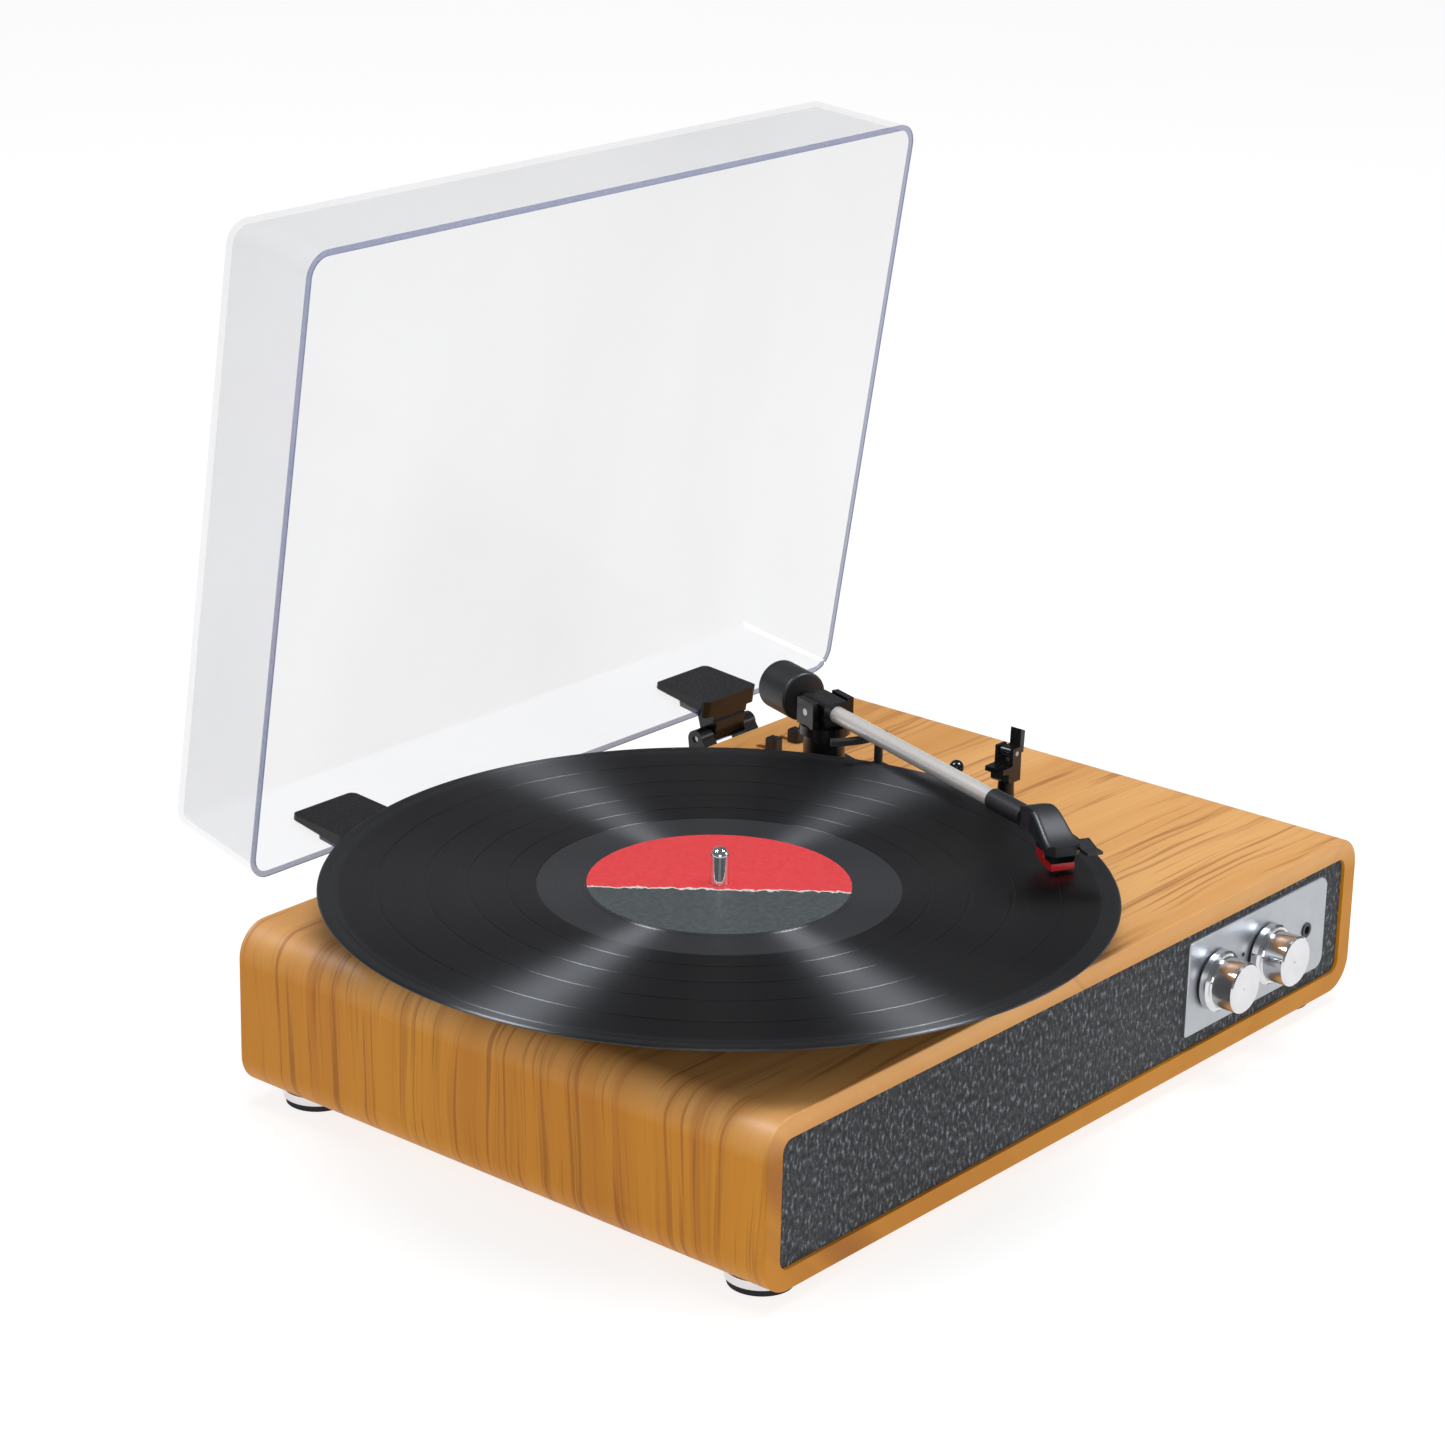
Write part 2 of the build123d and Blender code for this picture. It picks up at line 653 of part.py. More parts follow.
with BuildPart() as motor_grommets:
    for x, y in motor_places:
        with BuildSketch(half(x, y)):
            with BuildLine():
                Polyline(
                    (screw_r, motor_top - 1.4), (4.2, motor_top - 1.4), (4.2, motor_top), (3.0, motor_top),
                    (3.0, motor_top + 1.2), (4.2, motor_top + 1.2), (4.2, roof_z), (screw_r, roof_z),
                    close=True,
                )
            make_face()
        revolve(axis=Axis((x, y, 0), (0, 0, 1)))
pieces["motor_grommets"] = motor_grommets
with BuildPart() as deck_screws:
    add(roof_screws(bearing_places, roof_z - 3.0).part)
    add(roof_screws(motor_places, motor_top - 1.4).part)
    with BuildSketch(Plane.XY.offset(roof_z - 1.6)):
        with Locations((post_x, rest_y)):
            Circle(4.2)
    extrude(amount=1.6)
    with BuildSketch(Plane.XY.offset(roof_z)):
        with Locations((post_x, rest_y)):
            Circle(screw_r - 0.1)
    extrude(amount=wall + 11.0)
pieces["deck_screws"] = deck_screws

belt_z = deck_z + 8.0
belt_h = 4.0
belt_t = 0.8
belt_gap = 0.05
pulley_r = 5.0
motor_axis = Axis((motor_x, motor_y, 0), (0, 0, 1))
with BuildPart() as motor_shaft:
    with BuildSketch(Plane.XY.offset(motor_top - 7.0)):
        with Locations((motor_x, motor_y)):
            Circle(motor_shaft_r)
    extrude(amount=belt_z + belt_h + 1.5 - motor_top + 7.0)
pieces["motor_shaft"] = motor_shaft

with BuildPart() as motor_pulley:
    with BuildSketch(half(motor_x, motor_y)):
        with BuildLine():
            Polyline(
                (motor_shaft_r, belt_z - 2.5), (pulley_r + 1.6, belt_z - 2.5), (pulley_r + 1.6, belt_z - 1.0),
                (pulley_r, belt_z - 0.6), (pulley_r, belt_z + belt_h + 0.6), (motor_shaft_r, belt_z + belt_h + 0.6),
                close=True,
            )
        make_face()
    revolve(axis=motor_axis)
pieces["motor_pulley"] = motor_pulley

with BuildPart() as drive_belt:
    for grow, mode in ((belt_gap + belt_t, Mode.ADD), (belt_gap, Mode.SUBTRACT)):
        with BuildSketch(Plane.XY.offset(belt_z)):
            with Locations((spindle_x, spindle_y)):
                Circle(ring_r + grow)
            with Locations((motor_x, motor_y)):
                Circle(pulley_r + grow)
            make_hull()
        extrude(amount=belt_h, mode=mode)
pieces["drive_belt"] = drive_belt

# ---------------------------------------------------------------- tonearm: base, pivot and arm
base_h = 12.0
column_r = 8.7
column_top = arm_z - 10.5
post_r = 2.5
housing_along, housing_out = 25.0, 9.5  # cue housing's middle, from the pivot
housing_l, housing_w = 24.0, 19.0
lifter_r = 27.5  # the lifter's arc, from the pivot
lifter_w = 4.0
lifter_gap = 0.5
lifter_top = arm_z - tube_r - lifter_gap
lifter_t = 2.2
lifter_angle = 28.0  # half the arc that the lifter spans
rod_turn = 21.0
rod_r = 1.8
rod_at = (lifter_r * cos(radians(rod_turn)), lifter_r * sin(radians(rod_turn)))
housing_top = deck_z + 15.0
cue_z = deck_z + 10.0
cue_along = housing_along + 6.0
cue_side = housing_out + housing_w / 2  # housing's outer face
cue_pin_r = 1.6
cue_length, cue_slope = 39.7, 28.0

with BuildPart() as tonearm_base:
    with BuildSketch(arm_level(deck_z)):
        RectangleRounded(33.0, 33.0, 7.0)
    extrude(amount=base_h)
    fillet(tonearm_base.faces().sort_by(Axis.Z)[-1].edges(), 1.5)
    with BuildSketch(arm_level(deck_z)):
        Circle(column_r)
    extrude(amount=column_top - deck_z)
    with BuildSketch(arm_level(deck_z, housing_along, housing_out)):
        RectangleRounded(housing_l, housing_w, 4.0)
    extrude(amount=housing_top - deck_z)
    with BuildSketch(arm_level(deck_z)):
        Circle(arm_hole_r - 0.1)
    extrude(amount=-wall)
    with BuildSketch(arm_level(column_top)):
        Circle(post_r)
    extrude(amount=3.0)
    with BuildSketch(arm_level(housing_top)):
        with Locations(rod_at):
            Circle(rod_r + 0.08)
    extrude(amount=-12.0, mode=Mode.SUBTRACT)
    with BuildSketch(arm_outer(cue_along, cue_side, cue_z)):
        Circle(cue_pin_r)
    extrude(amount=6.0, mode=Mode.SUBTRACT)
pieces["tonearm_base"] = tonearm_base

fork_gap = 7.0  # half the space between the fork's cheeks
fork_t = 3.0
pin_r = 1.5
turret_z = column_top + 0.4
turret_base = 4.0
with BuildPart() as turret:
    with BuildSketch(arm_level(turret_z)):
        Circle(column_r + 2.0)
    extrude(amount=turret_base)
    for side in (-1, 1):
        with BuildSketch(arm_level(turret_z + turret_base, 0, side * (fork_gap + fork_t / 2))):
            Rectangle(12.0, fork_t)
        extrude(amount=arm_z + 5.0 - turret_z - turret_base)
    with BuildSketch(arm_level(turret_z)):
        Circle(post_r + bore_fit)
    extrude(amount=3.2, mode=Mode.SUBTRACT)
    pin_plane = Plane(origin=arm_at(0, -20.0, arm_z), x_dir=arm_dir, z_dir=arm_side)
    with BuildSketch(pin_plane):
        Circle(pin_r)
    extrude(amount=40.0, mode=Mode.SUBTRACT)
pieces["turret"] = turret

with BuildPart() as pivot_pin:
    with BuildSketch(Plane(origin=arm_at(0, -fork_gap - fork_t, arm_z), x_dir=arm_dir, z_dir=arm_side)):
        Circle(pin_r)
    extrude(amount=2 * (fork_gap + fork_t))
pieces["pivot_pin"] = pivot_pin

tube_bore = 2.7
block_front = 9.0
with BuildPart() as arm_block:
    with BuildSketch(arm_cross(-8.0)):
        RectangleRounded(2 * fork_gap - 1.2, 10.0, 2.0)
    extrude(amount=8.0 + block_front)
    with BuildSketch(arm_cross(-39.0)):
        Circle(3.0)
    extrude(amount=31.0)
    with BuildSketch(Plane(origin=arm_at(0, -20.0, arm_z), x_dir=arm_dir, z_dir=arm_side)):
        Circle(pin_r + bore_fit)
    extrude(amount=40.0, mode=Mode.SUBTRACT)
pieces["arm_block"] = arm_block

with BuildPart() as arm_tube:
    with BuildSketch(arm_cross(block_front)):
        Circle(tube_r)
        Circle(tube_bore, mode=Mode.SUBTRACT)
    extrude(amount=tube_end - block_front)
pieces["arm_tube"] = arm_tube

with BuildPart() as counterweight:
    with BuildSketch(arm_cross(-36.0)):
        Circle(10.5)
        Circle(3.0, mode=Mode.SUBTRACT)
    extrude(amount=20.0)
    rims = counterweight.edges().filter_by(GeomType.CIRCLE).filter_by(lambda e: e.radius > 10.0)
    fillet(rims, 1.2)
pieces["counterweight"] = counterweight

collar_r = 4.3
with BuildPart() as arm_collar:
    with BuildSketch(arm_cross(tube_end - 9.0)):
        Circle(tube_bore)
    extrude(amount=9.0)
    with BuildSketch(arm_cross(tube_end)):
        Circle(collar_r)
    extrude(amount=collar_end - tube_end)
pieces["arm_collar"] = arm_collar

# The headshell is turned in from the tube, with its middle line starting a little outside the collar.
shell_turn = 10.0
shell_start = 4.8
shell_front = 27.0
shell_back_w, shell_front_w = 10.5, 14.0
shell_nose_z = arm_z - 3.2  # top of the headshell's front edge
shell_under_z = arm_z - 7.4  # underside there
stylus_out = 18.5  # stylus, from the collar's end along the headshell
guard_front = 24.6


def shell_level(z):
    """A level plane with its x along the headshell, from the collar's end."""
    turn = radians(arm_turn + shell_turn)
    return Plane(origin=arm_at(collar_end, shell_start, z), x_dir=(-sin(turn), -cos(turn), 0), z_dir=(0, 0, 1))


def shell_side(out):
    """An upright plane along the headshell: its x runs to the front, its y up, and it extrudes inwards."""
    level = shell_level(0)
    return Plane(origin=level.from_local_coords((0, out, 0)), x_dir=level.x_dir, z_dir=-level.y_dir)


with BuildPart() as headshell:
    with BuildSketch(shell_side(shell_front_w)):
        with BuildLine():
            back = Line((0.1, arm_z - 4.2), (0.1, arm_z + 4.4))
            crown = Spline(
                back @ 1, (4.0, arm_z + 5.4), (12.0, arm_z + 3.2), (shell_front, shell_nose_z),
            )
            Polyline(crown @ 1, (shell_front, shell_under_z), (9.0, arm_z - 4.6), back @ 0)
        make_face()
    extrude(amount=2 * shell_front_w)
    with BuildSketch(shell_level(arm_z - 30.0)):
        with BuildLine():
            Polyline(
                (0, -shell_start - 3.4), (6.0, -shell_back_w / 2 - 0.4), (shell_front - 2.5, -shell_front_w / 2),
                (shell_front, -shell_front_w / 2 + 2.5), (shell_front, shell_front_w / 2 - 2.5),
                (shell_front - 2.5, shell_front_w / 2), (6.0, shell_back_w / 2 + 0.6), (0, 4.3 - shell_start),
                close=True,
            )
        make_face()
    extrude(amount=60.0, mode=Mode.INTERSECT)
    crown_edges = headshell.faces().sort_by(Axis.Z)[-1].edges()
    long_edges = crown_edges.filter_by(lambda e: e.length > 12.0)
    fillet(long_edges, 2.0)
    with BuildSketch(arm_cross(collar_end - 5.0)):
        Circle(9.0)
    extrude(amount=5.0, mode=Mode.SUBTRACT)
    with BuildSketch(shell_side(shell_front_w / 2 + 5.5)):
        with BuildLine():
            Polyline(
                (shell_front - 6.0, shell_nose_z - 1.6), (shell_front + 1.0, shell_nose_z - 3.2),
                (shell_front + 6.0, shell_nose_z - 2.6), (shell_front + 6.0, shell_nose_z - 1.4),
                (shell_front + 1.0, shell_nose_z - 1.8), (shell_front - 6.0, shell_nose_z - 0.2),
                close=True,
            )
        make_face()
    extrude(amount=6.5)
pieces["headshell"] = headshell

stylus_z = record_z + 0.05
guard_z = stylus_z + 3.6
step_z = guard_z + 2.6
with BuildPart() as cartridge:
    with BuildSketch(shell_side(4.6)):
        with BuildLine():
            Polyline(
                (9.0, arm_z - 4.6), (shell_front - 1.0, shell_under_z + 0.15), (guard_front, guard_z), (18.0, guard_z),
                (17.0, step_z), (11.0, step_z),
                close=True,
            )
        make_face()
    extrude(amount=9.2)
pieces["cartridge"] = cartridge

with BuildPart() as stylus:
    with BuildSketch(shell_side(4.9)):
        with BuildLine():
            Polyline(
                (11.0, step_z), (17.0, step_z), (18.0, guard_z), (guard_front, guard_z),
                (guard_front + 0.4, stylus_z + 1.0), (stylus_out + 2.0, stylus_z + 0.8), (12.0, stylus_z + 2.6),
                close=True,
            )
        make_face()
    extrude(amount=9.8)
    tip = shell_level(stylus_z + 1.6).from_local_coords((stylus_out, 0, 0))
    with BuildSketch(Plane(origin=tip, x_dir=(1, 0, 0), z_dir=(0, 0, -1))):
        Circle(0.9)
    extrude(amount=1.6, taper=25)
pieces["stylus"] = stylus

# ---------------------------------------------------------------- cue lever and lifter
with BuildPart() as cue_lifter:
    with BuildSketch(arm_level(lifter_top - lifter_t)):
        Circle(lifter_r + lifter_w / 2)
        Circle(lifter_r - lifter_w / 2, mode=Mode.SUBTRACT)
        with BuildLine():
            side_x, side_y = 60.0 * cos(radians(lifter_angle)), 60.0 * sin(radians(lifter_angle))
            Polyline((0, 0), (side_x, -side_y), (90.0, 0), (side_x, side_y), close=True)
        make_face(mode=Mode.INTERSECT)
    extrude(amount=lifter_t)
    with BuildSketch(arm_level(housing_top - 8.0)):
        with Locations(rod_at):
            Circle(rod_r)
    extrude(amount=lifter_top - lifter_t - housing_top + 8.0)
pieces["cue_lifter"] = cue_lifter

lever_t = 2.6
lever_out = cue_side + 0.3 + lever_t
with BuildPart() as cue_lever:
    with BuildSketch(arm_outer(cue_along, lever_out, cue_z)):
        Circle(4.0)
        with BuildLine():
            run, lift = cos(radians(cue_slope)), sin(radians(cue_slope))
            corners = [(0, -2.2), (cue_length, -1.0), (cue_length, 1.0), (0, 2.2)]
            Polyline(*[(a * run - b * lift, a * lift + b * run) for a, b in corners], close=True)
        make_face()
        Circle(cue_pin_r + bore_fit, mode=Mode.SUBTRACT)
    extrude(amount=lever_t)
    ball_along = cue_along + cue_length * cos(radians(cue_slope))
    ball_z = cue_z + cue_length * sin(radians(cue_slope))
    with Locations(arm_at(ball_along, lever_out - lever_t / 2, ball_z)):
        Sphere(3.0)
pieces["cue_lever"] = cue_lever

# ---------------------------------------------------------------- arm rest
cradle_top = arm_z - tube_r - 2.2
cradle_h = 7.0
cradle_d = 9.0
upright_x = post_x + 0.4
latch_z = arm_z - 0.8
latch_t = 5.2
latch_pin_r = 1.0
with BuildPart() as rest_post:
    with BuildSketch(half(post_x, rest_y)):
        with BuildLine():
            Polyline(
                (0, deck_z), (6.5, deck_z), (6.5, deck_z + 1.6), (4.2, deck_z + 3.4), (3.2, cradle_top - cradle_h),
                (3.2, cradle_top - cradle_h + 1.0), (0, cradle_top - cradle_h + 1.0),
                close=True,
            )
        make_face()
    revolve(axis=Axis((post_x, rest_y, 0), (0, 0, 1)))
    with BuildSketch(to_front(0, rest_y + cradle_d / 2, 0)):
        with BuildLine():
            Polyline(
                (rest_x - 2.4, cradle_top), (rest_x - 2.4, cradle_top - 2.0), (rest_x + 0.6, cradle_top - 2.6),
                (post_x - 4.6, cradle_top - 2.8), (post_x - 4.6, cradle_top - cradle_h + 1.0),
                (post_x - 3.6, cradle_top - cradle_h), (upright_x + 3.0, cradle_top - cradle_h),
                (upright_x + 3.0, latch_z + 2.4), (upright_x - 2.7, latch_z + 2.4), (upright_x - 2.7, cradle_top),
                close=True,
            )
        make_face()
    extrude(amount=cradle_d)
    with BuildSketch(to_front(0, rest_y + latch_t / 2 + 0.3, 0)):
        with Locations((upright_x, latch_z + 6.8)):
            Rectangle(8.0, 20.0)
    extrude(amount=latch_t + 0.6, mode=Mode.SUBTRACT)
    with BuildSketch(to_front(upright_x, rest_y + cradle_d, latch_z)):
        Circle(latch_pin_r)
    extrude(amount=2 * cradle_d, mode=Mode.SUBTRACT)
    with BuildSketch(Plane.XY.offset(deck_z)):
        with Locations((post_x, rest_y)):
            Circle(screw_r - 0.05)
    extrude(amount=12.0, mode=Mode.SUBTRACT)
pieces["rest_post"] = rest_post

with BuildPart() as arm_pins:
    with BuildSketch(to_front(upright_x, rest_y + cradle_d / 2, latch_z)):
        Circle(latch_pin_r)
    extrude(amount=cradle_d)
    with BuildSketch(arm_outer(cue_along, lever_out + 0.2, cue_z)):
        Circle(cue_pin_r)
    extrude(amount=lever_out + 0.2 - cue_side + 6.0)
    with BuildSketch(arm_outer(cue_along, lever_out + 1.4, cue_z)):
        Circle(2.8)
    extrude(amount=1.2)
pieces["arm_pins"] = arm_pins

with BuildPart() as rest_latch:
    with BuildSketch(to_front(upright_x, rest_y + latch_t / 2, latch_z)):
        with BuildLine():
            Polyline((0, -1.4), (7.0, -1.4), (7.6, 7.6), (4.9, 8.8), (4.6, 1.8), (0, 1.8), close=True)
        make_face()
        Circle(2.3)
        Circle(latch_pin_r + bore_fit, mode=Mode.SUBTRACT)
    extrude(amount=latch_t)
pieces["rest_latch"] = rest_latch

with BuildPart() as arm_nut:
    with BuildSketch(arm_level(roof_z)):
        RegularPolygon(9.0, 6)
        Circle(arm_hole_r - 0.1, mode=Mode.SUBTRACT)
    extrude(amount=-5.0)
    with BuildSketch(arm_level(roof_z)):
        Circle(arm_hole_r - 0.1)
    extrude(amount=-7.0)
pieces["arm_nut"] = arm_nut

# ---------------------------------------------------------------- speed and auto-stop switches
switch_travel = 6.0
cap_x, cap_y, cap_h = 6.0, 6.0, 5.0


def slide_switch(x):
    """A slide switch's button: a ribbed cap above the deck on a stem through the slot."""
    with BuildPart() as button:
        y = switch_y - switch_travel / 2
        with BuildSketch(Plane.XY.offset(deck_z + 0.3)):
            with Locations((x, y)):
                RectangleRounded(cap_x, cap_y, 1.5)
        extrude(amount=cap_h)
        with BuildSketch(Plane.XY.offset(deck_z + cap_h + 0.3)):
            for step in (-1.8, 0, 1.8):
                with Locations((x, y + step)):
                    Rectangle(cap_x - 2.0, 0.7)
        extrude(amount=0.6)
        with BuildSketch(Plane.XY.offset(roof_z - 2.0)):
            with Locations((x, y)):
                Rectangle(2.2, 3.6)
        extrude(amount=wall + 2.3)
    return button


for name, x in (("speed", speed_x), ("autostop", autostop_x)):
    pieces[f"{name}_switch"] = slide_switch(x)

with BuildPart() as switch_bodies:
    for x in (speed_x, autostop_x):
        with BuildSketch(Plane.XY.offset(roof_z - 9.0)):
            with Locations((x, switch_y)):
                Rectangle(10.0, 22.0)
        extrude(amount=9.0)
        with BuildSketch(Plane.XY.offset(roof_z)):
            with Locations((x, switch_y)):
                Rectangle(4.0, 14.0)
        extrude(amount=-5.0, mode=Mode.SUBTRACT)
pieces["switch_bodies"] = switch_bodies

# ---------------------------------------------------------------- lid and its hinges
draft_side, draft_top, draft_bottom = 3.6, 2.4, 1.6  # how far the lid's back panel is inside its rim
back_w = lid_w - 2 * draft_side
back_l = lid_l - draft_top - draft_bottom
back_up = (draft_bottom - draft_top) / 2
part_way = (lid_h - lid_t) / lid_h


def lid_solid(inset, depth):
    """A block that fills the lid's outline, drawn in by inset, from the rim back to the given depth."""
    way = depth / lid_h
    width = lid_w + way * (back_w - lid_w) - 2 * inset
    length = lid_l + way * (back_l - lid_l) - 2 * inset
    with BuildPart() as block:
        with BuildSketch(lid_face(0)):
            RectangleRounded(lid_w - 2 * inset, lid_l - 2 * inset, lid_r - inset)
        with BuildSketch(lid_face(depth)):
            with Locations((0, way * back_up)):
                RectangleRounded(width, length, lid_r - inset)
        loft()
        panel = block.faces().sort_by(Axis(lid_at(0, 0, 0), lid_back))[-1]
        fillet(panel.edges(), 4.0 - inset)
    return block


outer_block = lid_solid(0.0, lid_h)
inner_block = lid_solid(lid_t, lid_h - lid_t)
with BuildPart() as lid:
    add(outer_block.part)
    add(inner_block.part, mode=Mode.SUBTRACT)
pieces["lid"] = lid

lean = radians(lid_lean)
barrel_back = (hinge_y - rim_y) * cos(lean) + (hinge_z - rim_z) * sin(lean)
barrel_up = -(hinge_y - rim_y) * sin(lean) + (hinge_z - rim_z) * cos(lean)
barrel_r = 4.0
hinge_pin_r = 1.5
knuckle_w = 19.0
clip_top, clip_under, clip_front = 2.8, 3.0, 4.0
grip = 0.05
rise = clip_l * draft_bottom / lid_h  # the lid's lower wall rises this much over the clip
under_rise = (clip_l - 10.0) * draft_bottom / lid_h
jaw_w = knuckle_w + 3.0  # the part of a clip under the lid's wall
with BuildPart() as hinge_clips:
    for hinge_x in hinge_xs:
        across = hinge_x - cab_x
        with BuildSketch(lid_side(across - clip_w / 2)):
            with BuildLine():
                Polyline(
                    (-clip_front, lid_t + grip + clip_top + 2.2), (clip_l, lid_t + grip + clip_top),
                    (clip_l, lid_t + grip + rise), (-grip, lid_t + grip), (-grip, -grip), (-clip_front, -grip),
                    close=True,
                )
            make_face()
        extrude(amount=clip_w)
        with BuildSketch(lid_side(across - jaw_w / 2)):
            with BuildLine():
                Polyline(
                    (-clip_front, -grip), (-grip, -grip), (clip_l - 10.0, under_rise - grip),
                    (clip_l - 11.0, -clip_under), (-clip_front, -clip_under),
                    close=True,
                )
            make_face()
        extrude(amount=jaw_w)
    for hinge_x in hinge_xs:
        with BuildSketch(lid_across(hinge_x - cab_x, -10.0)):
            with Locations((0, (clip_l - clip_front) / 2)):
                Rectangle(clip_w + 2.0, clip_l + clip_front + 2.0)
                RectangleRounded(clip_w, clip_l + clip_front, 3.0, mode=Mode.SUBTRACT)
        extrude(amount=30.0, mode=Mode.SUBTRACT)
    for hinge_x in hinge_xs:
        across = hinge_x - cab_x
        with BuildSketch(lid_side(across - knuckle_w / 2)):
            with BuildLine():
                Polyline(
                    (-clip_front, -clip_under + 0.5), (6.5, -clip_under + 0.5), (barrel_back + barrel_r, barrel_up),
                    (barrel_back - barrel_r, barrel_up), (-clip_front - 1.0, -clip_under),
                    close=True,
                )
            make_face()
            with Locations((barrel_back, barrel_up)):
                Circle(barrel_r)
                Circle(hinge_pin_r, mode=Mode.SUBTRACT)
        extrude(amount=knuckle_w)
pieces["hinge_clips"] = hinge_clips

with BuildPart() as hinge_pins:
    for hinge_x in hinge_xs:
        with BuildSketch(to_right(hinge_x - 17.0, hinge_y, hinge_z)):
            Circle(hinge_pin_r)
        extrude(amount=34.0)
pieces["hinge_pins"] = hinge_pins

base_plate_w = 36.0
cheek_gap = 0.4
cheek_w = base_plate_w / 2 - knuckle_w / 2 - cheek_gap
with BuildPart() as hinge_bases:
    for hinge_x in hinge_xs:
        with BuildSketch(to_front(hinge_x, back_y + base_t, 53.0)):
            RectangleRounded(base_plate_w, 20.0, 2.5)
            with Locations((-hinge_screw_dx, hinge_screw_z - 53.0), (hinge_screw_dx, hinge_screw_z - 53.0)):
                Circle(screw_r, mode=Mode.SUBTRACT)
        extrude(amount=base_t)
        for start in (hinge_x - base_plate_w / 2, hinge_x + base_plate_w / 2 - cheek_w):
            with BuildSketch(to_right(start, 0, 0)):
                with BuildLine():
                    Polyline(
                        (back_y, 55.0), (back_y, 68.0), (hinge_y - barrel_r, hinge_z), (hinge_y + barrel_r, hinge_z),
                        (hinge_y + barrel_r - 0.8, 68.0), (back_y + base_t, 57.0), (back_y + base_t, 55.0),
                        close=True,
                    )
                make_face()
                with Locations((hinge_y, hinge_z)):
                    Circle(barrel_r)
                    Circle(hinge_pin_r + bore_fit, mode=Mode.SUBTRACT)
            extrude(amount=cheek_w)
pieces["hinge_bases"] = hinge_bases

# ---------------------------------------------------------------- files
os.makedirs("parts", exist_ok=True)
for name, piece in pieces.items():
    piece.part.label = name
    export_step(piece.part, f"parts/{name}.step")
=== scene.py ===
import json
import math

import bmesh
import bpy
from mathutils import Matrix, Vector


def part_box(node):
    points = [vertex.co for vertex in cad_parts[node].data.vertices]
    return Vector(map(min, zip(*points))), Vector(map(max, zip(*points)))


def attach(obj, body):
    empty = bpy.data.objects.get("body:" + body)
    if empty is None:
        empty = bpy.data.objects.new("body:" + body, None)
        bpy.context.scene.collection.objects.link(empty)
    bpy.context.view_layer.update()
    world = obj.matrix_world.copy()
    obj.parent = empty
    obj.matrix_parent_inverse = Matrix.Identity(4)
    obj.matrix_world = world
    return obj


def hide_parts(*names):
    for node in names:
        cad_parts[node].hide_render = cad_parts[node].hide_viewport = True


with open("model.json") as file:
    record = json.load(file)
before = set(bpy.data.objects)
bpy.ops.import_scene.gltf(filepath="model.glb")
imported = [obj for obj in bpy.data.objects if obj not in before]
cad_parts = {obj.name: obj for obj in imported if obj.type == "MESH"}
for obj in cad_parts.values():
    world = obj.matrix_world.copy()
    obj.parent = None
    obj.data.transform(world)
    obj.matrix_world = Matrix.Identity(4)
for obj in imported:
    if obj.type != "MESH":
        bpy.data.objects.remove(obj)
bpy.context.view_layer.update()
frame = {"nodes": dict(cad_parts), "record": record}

nodes = frame["nodes"]


# ---------------------------------------------------------------- places, from the CAD
def middle(name):
    low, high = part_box(name)
    return (low + high) / 2


spindle = middle("record")
record_low, record_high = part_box("record")
record_r = (record_high.x - record_low.x) / 2
dead_wax_r = 0.0690  # the grooves end here
lead_in = 0.0078  # width of the smooth band outside the grooves
hole_r = 0.0037
cabinet_low, cabinet_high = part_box("cabinet")
cabinet_mid = middle("cabinet")
# The open lid leans forward. Its rim is the open face, and rim_back points from the rim to the lid's closed back.
lid_low, lid_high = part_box("lid")
lid_lean = math.radians(8.6)
lid_length, lid_depth = 0.253, 0.0478
rim_back = Vector((0, math.cos(lid_lean), math.sin(lid_lean)))
rim = Vector((
    0,
    lid_low.y + lid_length * math.sin(lid_lean),
    lid_high.z - lid_depth * math.sin(lid_lean) - lid_length * math.cos(lid_lean),
))


